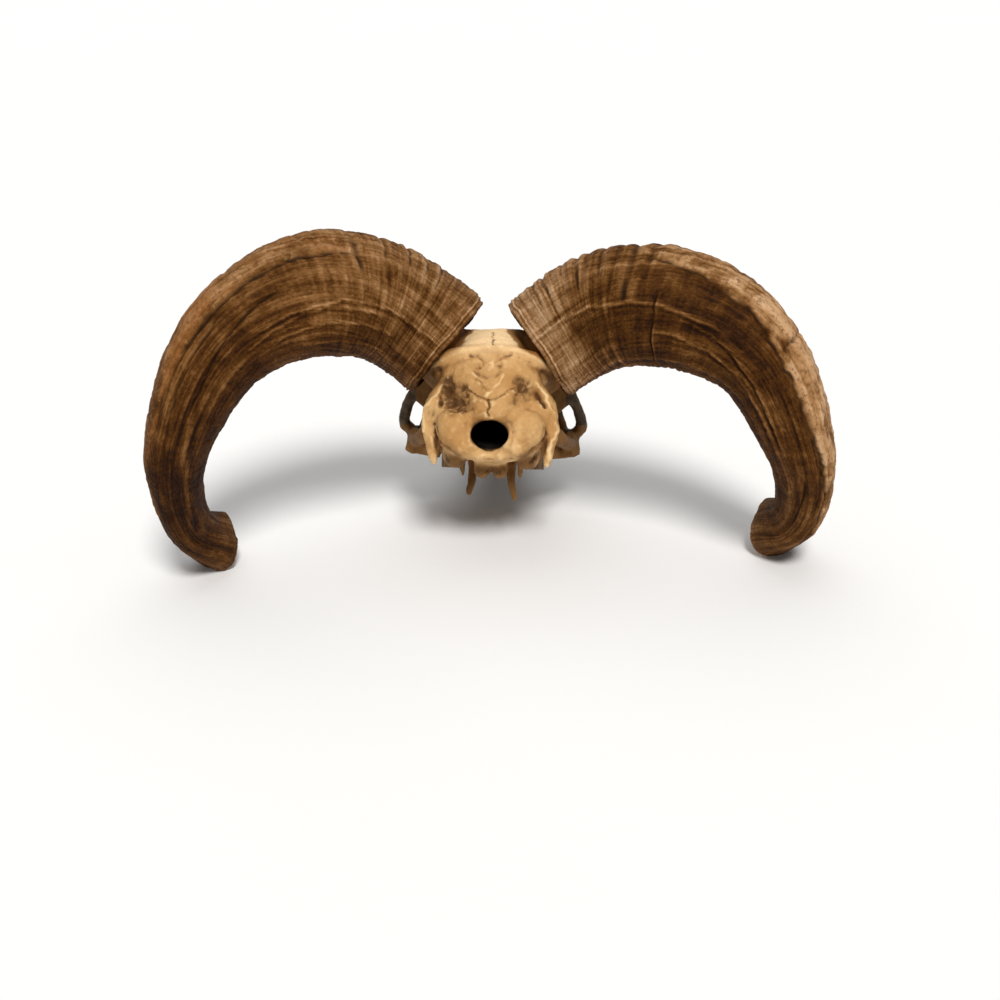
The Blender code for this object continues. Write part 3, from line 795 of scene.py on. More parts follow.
def near_sheath(piece, tree, reach):
    """1 beside the horns' rims, where painted shadow darkens the bone, to 0 further off."""
    places = spots(piece)
    wavy = rough(places, 5.0, shift=11.0)
    share = soft_step(past_unshaded(places) + 1.5 * wavy, -1.6, 2.4) * (places[:, 1] < RIM_SHADOW_DEEP)
    limit = reach * (0.35 + 0.65 * soft_step(back_plane(places)[:, 1], 43.0, 52.0))
    for index in np.nonzero(share)[0]:
        distance = tree.find_nearest(Vector(places[index]), reach + 3.0)[3]
        far = OPEN_AIR if distance is None else distance + 2.2 * wavy[index]
        share[index] *= 1.0 - soft_step(far, limit[index] - 4.0, limit[index])
    return share


def low_and_deep_shade(piece):
    """Painted shade that turns the bone brown: low under the head and deep behind the cheeks."""
    places = spots(piece)
    deep_in, height = places[:, 1], places[:, 2]
    right, up = back_plane(places).T
    out = np.abs(right)
    wavy = 2.0 * rough(places, 8.0, shift=19.0)
    rim = -17.5 + 6.5 * soft_step(out, 13.0, 22.0)
    low = soft_step(rim - up + wavy, -2.0, 3.5) * soft_drop(out, 28.0, 32.0) * 0.92
    deep = soft_step(deep_in + wavy, 42.0, 66.0) * soft_drop(height, 36.0, 46.0) * 0.88
    cheeks = soft_step(deep_in + wavy, 22.0, 40.0) * soft_step(out, 40.0, 44.0) * (up < 14.0) * 0.88
    cheeks = np.maximum(cheeks, soft_step(out, 45.5, 48.5) * (up < 14.0) * 0.92)
    temples = soft_step(past_unshaded(places) + 0.5 * wavy, -1.0, 2.5) * (up > 8.0) * (up < 46.0) * 0.85
    temples *= soft_step(deep_in, 14.0, 24.0)
    jaw_hooks = soft_drop(height, -40.0, -34.0) * 0.96
    return np.max([low, deep, cheeks, temples, jaw_hooks], axis=0)


def painted_top_highlight(piece):
    """Painted highlight on the roof of the head and the crest behind it, from 0 to 1."""
    places = spots(piece)
    right, up = back_plane(places).T
    across = 1.0 - soft_step(np.abs(right + 1.0), 14.0, 34.0)
    share = 0.42 * soft_step(up, 47.0, 57.0) + 0.58 * soft_step(up, 57.0, 62.0)
    share *= np.maximum(across, 0.5) * (facings(piece)[:, 2] > -0.3)
    return share * soft_drop(places[:, 1], 74.0, 90.0)


def coat_mask(piece):
    """1 where the charcoal coat covers the front of the skull and the rims of the orbits."""
    places = spots(piece)
    out = np.abs(places[:, 0])
    edge = 2.5 * rough(places, 9.0, shift=3.0)
    above = soft_step(places[:, 2] - 0.4 * edge, -10.5, -8.5)
    outer_rim = soft_step(out, 48.0, 52.0) * above
    face_coat = soft_step(places[:, 1] + edge, 105.0, 111.0)
    face_coat *= np.maximum(soft_step(facings(piece)[:, 1], -0.45, -0.10), outer_rim)
    rims = soft_step(places[:, 1] + edge, 84.0, 88.0) * soft_step(out, 50.0, 54.0)
    return np.maximum(face_coat, rims * above)


def inner_dark(piece):
    """1 inside the canal and the braincase, where no light reaches: painted shade."""
    places = spots(piece)
    faces = facings(piece)
    case = np.zeros(len(places))
    for middle, radii in (((0.0, 52.0, 13.0), (29.0, 37.0, 29.0)), ((0.0, 26.0, 0.0), (19.0, 15.0, 17.0))):
        off = places - np.array(middle)
        inward = (off * faces).sum(1) < 0.0
        from_middle = np.sqrt(((off / np.array(radii)) ** 2).sum(1))
        case = np.maximum(case, soft_drop(from_middle, 0.96, 1.02) * inward)
    case *= soft_step(places[:, 1], 4.0, 12.0)
    across = np.sqrt((places[:, 0] / 15.5) ** 2 + ((places[:, 2] + 0.5) / 14.8) ** 2)
    toward_axis = (-faces[:, 0] * places[:, 0] - faces[:, 2] * (places[:, 2] - 1.0)) > -2.0
    canal = soft_drop(across, 0.97, 1.05) * soft_step(places[:, 1], 3.0, 8.0) * toward_axis
    return np.maximum(case, canal)


def skull_bone():
    """All bone in one body, finer than the solid."""
    bone = built("bone", bone_solids, roof_fill)
    even_out(bone, ROUGH_GRAIN, 5)
    hollows = built("hollows", bone_hollows)
    even_out(hollows, ROUGH_GRAIN, 0)
    cut(bone, hollows)
    trims = built("trims", bone_trims)
    even_out(trims, BONE_GRAIN, 3)
    cut(bone, trims, "UNION")
    even_out(bone, BONE_GRAIN, 9)
    keep_largest(bone)
    uneven(bone)
    for side in (-1, 1):
        socket = built("socket", lambda bm: tooth_socket(bm, side))
        uneven(socket)
        cut(bone, socket)
    keep_largest(bone)
    weather_bone(bone)
    paint(bone, "seam_shade", carve_back(bone))
    paint(bone, "hollow", hollowness(bone, 14, 0.9))
    # The coat, the painted shade inside, low down and deep in, and the painted highlight on the roof
    for name, shade in (("coat", coat_mask), ("dark", inner_dark), ("old", low_and_deep_shade), ("pale", painted_top_highlight)):
        paint(bone, name, shade(bone))
    thin = bone.modifiers.new("facets", "DECIMATE")
    thin.ratio = min(1.0, BONE_FACES / sum(len(face.vertices) - 2 for face in bone.data.polygons))
    bake_modifiers(bone)
    return bone


def lay_down(piece):
    """From the skull's own frame in mm to the resting place in metres."""
    piece.data.transform(rest_matrix() @ Matrix.Scale(MM, 4))
    piece.data.update()


# The marks of each horn. A line along a horn is a path of (place, turn); a groove across it has its reach
# in mm from the base, depth, width and the turns where it starts and ends.
LEFT_MARKS = {
    "grooves": ((43.0, 1.3, 1.5, -60, 48), (55.0, 1.2, 1.6, -60, 50), (67.0, 1.5, 1.4, -60, 42),
                (72.0, 0.8, 1.8, -60, 60), (84.0, 1.5, 1.7, -60, 58), (101.0, 1.5, 2.0, -60, 70),
                (126.0, 0.9, 1.6, -60, 40), (160.0, 1.0, 2.0, -60, 35), (240.0, 0.7, 1.6, -60, 90)),
    "cracks": ((((0.25, 52), (0.32, 57), (0.36, 58), (0.39, 61), (0.42, 65), (0.46, 67), (0.52, 66)),
                1.5, 2.6),
               (((0.37, 84), (0.41, 90), (0.45, 96), (0.50, 104), (0.54, 108), (0.58, 110)), 1.2, 2.0),
               (((0.44, 74), (0.50, 80), (0.56, 82), (0.66, 88)), 1.0, 1.2),
               (((0.03, 81), (0.11, 81), (0.20, 84), (0.27, 88)), 1.4, 0.5),
               (((0.60, 98), (0.70, 104), (0.80, 104), (0.88, 108)), 0.9, 0.9)),
    "lines": ((((0.02, 96), (0.14, 99), (0.23, 102), (0.28, 105), (0.345, 111), (0.42, 116)), 0.9, 0.7),
              (((0.20, 109), (0.30, 112), (0.36, 117), (0.415, 122), (0.455, 127)), 0.8, 0.6),
              (((0.14, 121), (0.24, 124), (0.34, 130), (0.42, 137)), 0.7, 0.45),
              (((0.12, 140), (0.24, 146), (0.34, 152)), 0.7, 0.4),
              (((0.58, 112), (0.63, 118), (0.75, 134), (0.84, 118)), 2.2, 0.3)),
    "scarp": (((0.0, 92), (0.23, 100), (0.30, 103), (0.36, 109), (0.42, 115), (0.48, 120)), 0.7),
    "band": (((0.20, 46), (0.25, 52), (0.32, 57), (0.39, 61), (0.46, 67), (0.56, 66), (0.70, 62), (0.92, 58)),
             0.30, 0.5, 0.25),
    "tip_tone": 0.42,
    "tones": ((0.00, 0.42, 0.50, 0.58, 0.58, 0.55, 0.50, 0.42, 0.34, 0.32, 0.38),
              (0.15, 0.40, 0.50, 0.60, 0.60, 0.52, 0.48, 0.38, 0.32, 0.30, 0.36),
              (0.30, 0.40, 0.48, 0.58, 0.52, 0.44, 0.46, 0.38, 0.30, 0.28, 0.34),
              (0.45, 0.40, 0.52, 0.64, 0.60, 0.42, 0.38, 0.34, 0.28, 0.26, 0.34),
              (0.60, 0.40, 0.48, 0.56, 0.46, 0.34, 0.30, 0.26, 0.24, 0.24, 0.32),
              (0.75, 0.34, 0.38, 0.42, 0.28, 0.18, 0.17, 0.20, 0.20, 0.22, 0.30),
              (0.90, 0.32, 0.36, 0.38, 0.32, 0.30, 0.28, 0.28, 0.28, 0.28, 0.32),
              (1.00, 0.36, 0.40, 0.44, 0.44, 0.42, 0.40, 0.38, 0.36, 0.36, 0.36)),
}
RIGHT_MARKS = {
    "grooves": ((21.0, 0.8, 1.2, -60, 62), (29.0, 1.0, 1.5, -60, 70), (38.0, 1.9, 1.6, -60, 66),
                (46.0, 0.8, 1.3, 10, 60), (54.0, 1.1, 1.3, -60, 64), (63.0, 1.7, 1.7, -60, 62),
                (70.0, 0.8, 1.3, 0, 74), (79.0, 1.3, 1.8, -60, 60), (89.0, 1.0, 1.4, 5, 78),
                (98.0, 2.3, 2.6, -60, 88), (108.0, 1.2, 1.5, -60, 66), (117.0, 1.8, 0.8, 92, 172),
                (183.0, 1.3, 1.3, 30, 72), (34.0, 0.7, 1.6, 92, 170), (57.0, 0.7, 1.4, 92, 170),
                (82.0, 0.8, 1.8, 92, 170), (236.0, 0.9, 1.5, -60, 80)),
    "cracks": ((((0.37, 108), (0.42, 118), (0.487, 129), (0.562, 134), (0.64, 136)), 1.1, 1.3),
               (((0.42, 104), (0.50, 112), (0.58, 118), (0.68, 122)), 0.9, 1.0),
               (((0.70, 106), (0.733, 110), (0.787, 116), (0.82, 118)), 1.3, 1.8),
               (((0.56, 84), (0.64, 83), (0.72, 82), (0.80, 84)), 1.1, 1.2),
               (((0.60, 40), (0.70, 46), (0.80, 50)), 0.9, 1.0)),
    "lines": ((((0.0, 82), (0.08, 82), (0.145, 86), (0.20, 91), (0.24, 92), (0.275, 94), (0.305, 96),
                (0.34, 99), (0.37, 102), (0.42, 106)), 1.0, 1.0),
              (((0.34, 106), (0.40, 112), (0.46, 120), (0.54, 128), (0.62, 132)), 0.9, 0.5),
              (((0.30, 122), (0.38, 128), (0.46, 134), (0.56, 141), (0.66, 145)), 0.9, 0.5),
              (((0.56, 78), (0.63, 76), (0.69, 74), (0.78, 76)), 1.6, 0.5)),
    "scarp": (((0.0, 84), (0.08, 84), (0.145, 88), (0.20, 93), (0.24, 94), (0.305, 98), (0.37, 104),
               (0.42, 108)), 1.7),
    "band": (((0.26, 38), (0.29, 45), (0.32, 48), (0.35, 54), (0.39, 65), (0.43, 65), (0.47, 75), (0.50, 80),
              (0.58, 82), (0.64, 80), (0.72, 72), (0.86, 62)), 1.2, 1.0, 0.90),
    "tip_tone": 0.66,
    "tones": ((0.00, 0.46, 0.62, 0.76, 0.80, 0.76, 0.74, 0.74, 0.60, 0.44, 0.42),
              (0.07, 0.44, 0.60, 0.72, 0.76, 0.70, 0.62, 0.72, 0.56, 0.40, 0.40),
              (0.15, 0.40, 0.50, 0.58, 0.56, 0.52, 0.26, 0.42, 0.44, 0.34, 0.38),
              (0.28, 0.36, 0.42, 0.42, 0.34, 0.30, 0.19, 0.29, 0.34, 0.30, 0.34),
              (0.42, 0.38, 0.50, 0.70, 0.52, 0.28, 0.25, 0.32, 0.32, 0.28, 0.34),
              (0.58, 0.40, 0.55, 0.80, 0.78, 0.48, 0.30, 0.32, 0.32, 0.28, 0.34),
              (0.75, 0.38, 0.50, 0.64, 0.62, 0.50, 0.38, 0.36, 0.34, 0.28, 0.32),
              (0.90, 0.34, 0.40, 0.46, 0.46, 0.44, 0.40, 0.38, 0.36, 0.32, 0.32),
              (0.97, 0.34, 0.38, 0.42, 0.42, 0.42, 0.44, 0.46, 0.44, 0.40, 0.34),
              (1.00, 0.34, 0.38, 0.40, 0.40, 0.42, 0.54, 0.66, 0.64, 0.48, 0.36)),
}
TONE_TURNS = (-90, -40, 10, 40, 68, 100, 130, 160, 195, 270)
HORN_TURNS = np.arange(HORN_SIDES) * 360.0 / HORN_SIDES - 90.0

# The horn's unevenness as waves, lumps, strands, folds and steps: how each is squeezed about the horn
# and along it, its width in mm, its octaves and its shift
HORN_NOISES = (
    ((1.0, 1.0, 1.0), 34.0, 2, 0.0),
    ((1.0, 1.0, 1.0), 10.0, 3, 9.0),
    ((1.0, 1.0, 0.03), 3.4, 3, 5.0),
    ((1.0, 1.0, 0.02), 9.0, 2, 15.0),
    ((0.12, 0.12, 1.0), 3.6, 3, 25.0),
)
RIM_LAYERS = ((2.6, 0.8, 0.5), (6.2, 0.6, 1.3), (9.8, 0.6, 0.4))     # reach, drop and ridge of each
TIP_RINGS = ((0.96, 1.2), (0.90, 1.9), (0.80, 2.0), (0.66, 1.4), (0.5, 0.6), (0.33, -0.4), (0.16, -0.9))


def around_horn(height):
    """Places about an even round bar, on which the horn's unevenness is drawn."""
    radians = np.radians(HORN_TURNS)
    flat = (GRAIN_ROUND * np.cos(radians), GRAIN_ROUND * np.sin(radians))
    return np.stack([*flat, np.full(HORN_SIDES, height)], axis=1)


class HornGrain:
    """Growth rings, ridges, cracks and worn layers of one horn: moves of its surface in mm, and tones."""

    def __init__(self, rows, side, seed, marks, ring_depth):
        self.rows = rows
        self.side = side
        self.seed = seed
        self.marks = marks
        self.steps = np.linspace(0.0, 1.0, 401)
        middles = np.array([horn_middle(rows, side, step) for step in self.steps])
        lengths = np.linalg.norm(np.diff(middles, axis=0), axis=1)
        self.lengths = np.concatenate([[0.0], np.cumsum(lengths)])
        self.length = self.lengths[-1]
        rng = np.random.default_rng(seed)
        self.rings = [(*groove, rng.uniform(0, 100)) for groove in marks["grooves"]]
        reach = 14.0
        while reach < self.length - 12.0:
            share = reach / self.length
            depth = ring_depth * (1.0 - 0.6 * share) * rng.uniform(0.2, 1.0)
            self.rings.append((reach, depth, rng.uniform(0.7, 1.4), -200, 400, rng.uniform(0, 100)))
            reach += rng.uniform(3.4, 7.0) * (1.0 + 0.9 * share)

    def reach(self, place):
        return np.interp(place, self.steps, self.lengths)

    def beside(self, path, place, size):
        """How far in mm each turn is past a line along the horn, and 1 between the ends of the line."""
        along, line_turns = zip(*path)
        at = np.interp(place, along, line_turns)
        wander = 1.3 * rough_at((float(self.reach(place)), 7.0 * line_turns[0], self.seed), 11.0)
        off = (HORN_TURNS - at) * size * math.pi / 180.0 + wander
        ends = soft_step(place, along[0] - 0.015, along[0] + 0.02)
        return off, float(ends * soft_drop(place, along[-1] - 0.015, along[-1] + 0.02))

    def zone_tone(self, place):
        table = np.array(self.marks["tones"])
        row = [np.interp(place, table[:, 0], column) for column in table[:, 1:].T]
        return np.interp(HORN_TURNS, TONE_TURNS, row)

    def relief(self, place, size):
        """Grain place, rise, tone, painted shade and worn band at each turn of one cut."""
        far = float(self.reach(place))
        around = around_horn(0.0)
        straight = around_horn(far)
        near_base = 1.0 - float(soft_step(place, 0.14, 0.46))
        flank = soft_step(HORN_TURNS, 62.0, 95.0) * soft_drop(HORN_TURNS, 190.0, 225.0)
        wave, lump, strand, fold, step = [
            rough(straight * np.array(squeeze), width, octaves, shift=self.seed + shift)
            for squeeze, width, octaves, shift in HORN_NOISES]
        path, drop = self.marks["scarp"]
        scarp_off, scarp_ends = self.beside(path, place, size)
        smooth = drop / 1.7 * scarp_ends * soft_step(scarp_off, 0.0, 2.0) * soft_drop(scarp_off, 16.0, 30.0)
        strand *= 1.0 - 0.65 * smooth
        step *= 1.0 - 0.75 * smooth
        push = 0.8 * wave + 0.5 * lump + strand * (0.20 + 0.18 * flank) + 0.35 * fold * flank
        push += step * (0.10 + 0.30 * near_base)
        tone = self.zone_tone(place) + 0.11 * strand * (0.5 + 0.5 * flank) + 0.06 * fold * flank
        tone += 0.11 * step * (0.2 + near_base) + 0.10 * lump
        dark = np.zeros(HORN_SIDES)
        for reach, depth, width, first, last, shift in self.rings:
            if abs(far - reach) > 12.0:
                continue
            bend = 2.0 * rough(around + shift, 17.0, 2)
            strength = np.clip(0.8 + 0.8 * rough(around - shift, 12.0, 2), 0.15, 1.4)
            strength *= (soft_step(HORN_TURNS, first - 14.0, first + 6.0)
                         * soft_drop(HORN_TURNS, last - 6.0, last + 14.0))
            past = (far - reach - bend) / width
            near = bell(past, 0.0, 1.0) * strength
            push += depth * (0.22 * bell(past, 2.2, 1.6) * strength - near)
            tone += 0.10 * depth * bell(past, 1.8, 1.2) * strength
            # Painted shade in the growth groove, darker where it is deeper
            dark = np.maximum(dark, near * min(depth / 1.9, 1.0))
        for path, width, depth in self.marks["cracks"]:
            off, ends = self.beside(path, place, size)
            if ends > 0.0:
                gape = 0.75 + 0.5 * rough_at((far, path[0][1], 3.0), 8.0, 2)
                near = bell(off, 0.0, width * gape) * ends
                push += depth * (0.35 * bell(off, -2.6, 2.0) * ends - near)
                # Painted shade in the crack
                dark = np.maximum(dark, near * min(1.0, 0.30 + depth / 2.4))
        for path, width, height in self.marks["lines"]:
            off, ends = self.beside(path, place, size)
            if ends > 0.0:
                near = bell(off, 0.0, width) * ends
                push += height * near
                tone += 0.26 * near * min(1.0, height + 0.3)
                tone -= 0.14 * bell(off, 2.4 * width, width) * ends
        push -= drop * scarp_ends * soft_step(scarp_off, 0.0, 3.5) * soft_drop(scarp_off, 12.0, 34.0)
        path, rise, edge_dark, band_tone = self.marks["band"]
        off, ends = self.beside(path, place, size)
        off = off + 1.5 * rough_at((far, 0.0, self.seed), 5.0, 2)
        band = soft_drop(off, -1.6, 0.8) * soft_step(HORN_TURNS, -80.0, -55.0) * ends
        push += band * (rise * (0.7 + 0.3 * lump) + 0.35 * rough(straight, 3.6, shift=self.seed + 33.0))
        edge = bell(off, 0.6, 1.5) * ends * edge_dark
        push -= 1.4 * edge
        # Painted shade in the groove along the worn band's edge
        dark = np.maximum(dark, edge * (0.75 + 0.4 * lump))
        worn = band_tone * np.clip(0.75 + 0.5 * lump + 0.35 * strand, 0.0, 1.0)
        tone += (worn - tone * band_tone) * band * 0.8
        return straight, push, np.clip(tone, 0.0, 1.0), np.clip(dark, 0.0, 1.0), band

    def rim_layers(self, far):
        """The layered, frayed start of the sheath: rise, tone and painted shade at the foot of each layer."""
        around = around_horn(self.seed)
        push = np.zeros(HORN_SIDES)
        tone = np.zeros(HORN_SIDES)
        dark = np.zeros(HORN_SIDES)
        for layer, (reach, drop, ridge) in enumerate(RIM_LAYERS):
            line = reach + 0.7 * rough(around + 13.0 * layer, 20.0)
            push -= drop * soft_step(line - far, -0.35, 0.35)
            raised = bell(far - line, 0.9, 0.8)
            push += 0.7 * ridge * raised
            tone += 0.22 * ridge * raised
            # Painted shade at the foot of the layer
            dark = np.maximum(dark, 0.6 * min(ridge, 1.0) * bell(far - line, -0.7, 0.8))
        return push, tone, dark

    def ring(self, places, inset=0.0, scale=1.0):
        """One ring of points, which may lie at different places along the horn, and its shades."""
        shared = float(np.mean(places))
        _, _, _, half_width, half_depth, _ = horn_cut(self.rows, self.side, shared)
        straight, push, tone, dark, band = self.relief(shared, (half_width + half_depth) / 2.0)
        layer_push, layer_tone, layer_dark = self.rim_layers(float(self.reach(shared)))
        swell = push + layer_push - inset
        cuts = np.linspace(float(places.min()), float(places.max()) + 1e-5, STATIONS)
        stack = np.array([horn_points(self.rows, self.side, cut, HORN_TURNS, scale=scale, swell=swell)
                          for cut in cuts])
        spot = (places - cuts[0]) / (cuts[-1] - cuts[0]) * (STATIONS - 1.0)
        first = np.clip(spot.astype(int), 0, STATIONS - 2)
        part = (spot - first)[:, None]
        index = np.arange(HORN_SIDES)
        points = stack[first, index] * (1.0 - part) + stack[first + 1, index] * part
        straight[:, 2] = self.reach(places)
        return points, (straight, np.clip(tone + layer_tone, 0.0, 1.0), np.maximum(dark, layer_dark), band)


def broken_tip(grain, last, straight):
    """The chipped end of the horn: ever smaller rings inside the last one."""
    ahead = np.array(horn_middle(grain.rows, grain.side, 1.0) - horn_middle(grain.rows, grain.side, 0.99))
    ahead /= np.linalg.norm(ahead)
    centre = last.mean(0)
    tip_noise = rough(around_horn(grain.seed), 9.0, 4, shift=21.0)
    for scale, lift in TIP_RINGS:
        shrunk = (last - centre) * scale
        chips = rough(shrunk, 5.0, shift=2.0)
        ring = centre + shrunk + np.outer(lift + 1.3 * tip_noise * scale + 1.1 * chips, ahead)
        straight = straight + np.array((0.0, 0.0, 1.5))
        tone = np.clip(grain.marks["tip_tone"] + 0.25 * chips, 0.0, 1.0)
        # Darker towards the sunk middle of the broken end: painted shade
        dark = np.clip(0.55 - scale + 0.6 * tip_noise, 0.0, 0.9)
        yield ring, (straight, tone, dark, np.zeros(HORN_SIDES))


def horn_sheath(name, grain, bone_tree):
    """One horn: a thin frayed rim about the bony core, ringed and ridged to its broken tip."""
    around = around_horn(grain.seed)
    start = rim_start(grain, bone_tree)
    start += (1.7 * rough(around, 13.0, shift=3.0) + 0.4 * rough(around, 3.0, 2)) / grain.length
    start = np.maximum(start, -0.004)
    pocket = CORE_REACH + POCKET_DEEPER
    drawn = []
    for share in np.linspace(1.0, 0.0, POCKET_RINGS):
        places = start + (pocket - start) * share
        inset = WALL + WALL_GAIN * share
        ring, (straight, tone, _, band) = grain.ring(places, inset, 1.0 - POCKET_NARROWING * share)
        # Inside the pocket: painted shade, half the tone and near-full groove shade
        drawn.append((ring, (straight, tone * 0.5, np.full(HORN_SIDES, 0.9), band * 0.0)))
    for share in np.linspace(0.0, 1.0, HORN_RINGS) ** RING_CROWDING:
        drawn.append(grain.ring(start + (1.0 - start) * share))
    last, (straight, *_) = drawn[-1]
    drawn.extend(broken_tip(grain, last, straight))
    bm = bmesh.new()
    grain_layer = bm.verts.layers.float_vector.new("grain")
    layers = [bm.verts.layers.float.new(word) for word in ("tone", "groove_shade", "band")]
    loops = sweep_rings(bm, [ring for ring, _ in drawn])
    for loop, (_, (straight, *shades)) in zip(loops, drawn):
        for corner, vert in enumerate(loop):
            vert[grain_layer] = straight[corner]
            for layer, shade in zip(layers, shades):
                vert[layer] = float(shade[corner])
    return new_object(name, bm)


def rim_start(grain, bone_tree):
    """The place where each line along the sheath comes clear of the bone."""
    marks = np.linspace(0.0, 0.10, 26)
    start = np.zeros(HORN_SIDES)
    found = np.zeros(HORN_SIDES, bool)
    for mark in marks:
        for index, point in enumerate(horn_points(grain.rows, grain.side, mark, HORN_TURNS)):
            if found[index]:
                continue
            spot, normal, _, distance = bone_tree.find_nearest(Vector(point))
            outside = (Vector(point) - spot).dot(normal) > 0
            if outside and distance > BONE_CLEAR:
                found[index] = True
                start[index] = mark
    start[~found] = marks[-1]
    for _ in range(6):
        start = np.maximum(start, 0.25 * (np.roll(start, 1) + np.roll(start, -1)) + 0.5 * start)
    return start


def tooth(name, index, side):
    """One cheek tooth: ribbed lobes and a worn crown with crescent ridges round dark pits."""
    _, length, width, lobes = TEETH[index]
    bm = bmesh.new()
    worn_layer = bm.verts.layers.float.new("worn")
    bmesh.ops.create_cube(bm, size=1.0)
    for axis, cuts in TOOTH_CUTS:
        edges = [e for e in bm.edges
                 if abs(abs(e.verts[0].co[axis] - e.verts[1].co[axis]) - e.calc_length()) < 1e-6]
        bmesh.ops.subdivide_edges(bm, edges=edges, cuts=cuts, use_grid_fill=True)
    for vert in bm.verts:
        x, y, z = vert.co * 2.0
        lobe = math.sin(math.pi * 0.5 * (y + 1.0) * lobes) ** 2
        round_end = math.sqrt(max(0.0, 1.0 - abs(y) ** 5))
        waist = (0.70 + 0.30 * lobe ** 0.5) * (0.55 + 0.45 * round_end)
        rib = 0.05 * math.cos(3.0 * math.pi * lobes * y) if abs(x) > 0.98 else 0.0
        taper = 1.0 - 0.07 * (z + 1.0) / 2.0
        low = (1.0 - z) / 2.0
        crest = math.cos(2.0 * math.pi * x) * 0.75 + 0.45 * lobe
        pit = math.exp(-((abs(x) - 0.02) / 0.16) ** 2) * lobe
        inner = 1.0 - max(abs(x), abs(y)) ** 8
        bottom = -(CROWN_DROP + 0.6 * lobe - 0.4)
        bottom += (-0.5 * crest + 1.1 * pit) * inner
        vert.co.x = x * (width / 2 - TOOTH_GAP) * (waist + rib) * taper
        vert.co.y = y * (length / 2 - TOOTH_GAP)
        vert.co.z = bottom * low + ROOT_RISE * (1.0 - low)
        vert[worn_layer] = low ** 8 * inner * (0.35 + 0.65 * pit)
    bm.transform(tooth_frame(index, side))
    crown = new_object(name, bm)
    uneven(crown)
    return crown


def linear(hex_colour):
    """A colour as six hex digits, as the shader wants it."""
    parts = [int(hex_colour[i:i + 2], 16) / 255.0 for i in (0, 2, 4)]
    return tuple(c / 12.92 if c <= 0.04045 else ((c + 0.055) / 1.055) ** 2.4 for c in parts) + (1.0,)


class Surface:
    """Short ways to wire the nodes of one material."""

    def __init__(self, name, roughness, specular=0.5):
        self.material = bpy.data.materials.new(name)
        self.material.use_nodes = True
        self.tree = self.material.node_tree
        self.shader = self.tree.nodes["Principled BSDF"]
        self.fill(self.shader, {"Roughness": roughness, "Specular IOR Level": specular})

    def fill(self, made, inputs):
        """Gives a node's inputs a number, a colour as hex digits, a row of numbers or another's output."""
        for key, item in inputs.items():
            if isinstance(item, bpy.types.NodeSocket):
                self.tree.links.new(item, made.inputs[key])
            elif item is not None:
                made.inputs[key].default_value = linear(item) if isinstance(item, str) else item

    def add(self, kind, inputs, output, **settings):
        made = self.tree.nodes.new(kind)
        for key, setting in settings.items():
            setattr(made, key, setting)
        self.fill(made, inputs)
        return made.outputs[output]

    def value(self, name, output="Fac"):
        return self.add("ShaderNodeAttribute", {}, output, attribute_name=name)

    def place(self):
        return self.add("ShaderNodeTexCoord", {}, "Object")

    def height(self, source):
        return self.add("ShaderNodeSeparateXYZ", {"Vector": source}, "Z")

    def stretch(self, source, scale):
        return self.add("ShaderNodeMapping", {"Vector": source, "Scale": scale}, "Vector")

    def noise(self, source, scale, detail=4.0, roughness=0.55, distortion=0.0):
        return self.add("ShaderNodeTexNoise", {"Vector": source, "Scale": scale, "Detail": detail,
                                               "Roughness": roughness, "Distortion": distortion}, "Fac")

    def grain_noise(self, source, scale, detail=4.0, roughness=0.6, distortion=0.0):
        """Noise on the horn's own places, with a scale for each of their directions."""
        return self.noise(self.stretch(source, scale), 1.0, detail, roughness, distortion)

    def cells(self, source, scale):
        return self.add("ShaderNodeTexVoronoi", {"Vector": source, "Scale": scale}, "Distance")

    def band(self, source, low, high, out_low=0.0, out_high=1.0):
        """Carries a value from one range to another, kept inside it."""
        ranges = {"From Min": low, "From Max": high, "To Min": out_low, "To Max": out_high}
        return self.add("ShaderNodeMapRange", {"Value": source, **ranges}, "Result",
                        interpolation_type="SMOOTHSTEP")

    def plus(self, first, *others):
        for item in others:
            first = self.add("ShaderNodeMath", {0: first, 1: item}, "Value", operation="ADD")
        return first

    def times(self, first, second):
        return self.add("ShaderNodeMath", {0: first, 1: second}, "Value", operation="MULTIPLY")

    def blend(self, share, first, second):
        """From the first colour to the second by a share."""
        return self.add("ShaderNodeMix", {"Factor": share, 6: first, 7: second}, 2, data_type="RGBA")

    def coats(self, colour, *layers):
        """Lays colours over one another. A layer is its share and its colour."""
        for share, tone in layers:
            colour = self.blend(share, colour, tone)
        return colour

    def ramp(self, share, stops):
        """A colour by share, through stops of (share, colour)."""
        made = self.tree.nodes.new("ShaderNodeValToRGB")
        elements = made.color_ramp.elements
        for element, (spot, tone) in zip(elements, (stops[0], stops[-1])):
            element.position = spot
            element.color = linear(tone)
        for spot, tone in stops[1:-1]:
            elements.new(spot).color = linear(tone)
        self.fill(made, {"Fac": share})
        return made.outputs["Color"]

    def finish(self, colour, *bumps):
        """Sets the colour and the bumps: a height, its distance in metres and its strength each."""
        normal = None
        for height, distance, strength in bumps:
            inputs = {"Height": height, "Distance": distance, "Strength": strength, "Normal": normal}
            normal = self.add("ShaderNodeBump", inputs, "Normal")
        self.fill(self.shader, {"Base Color": colour, "Normal": normal})
        return self.material


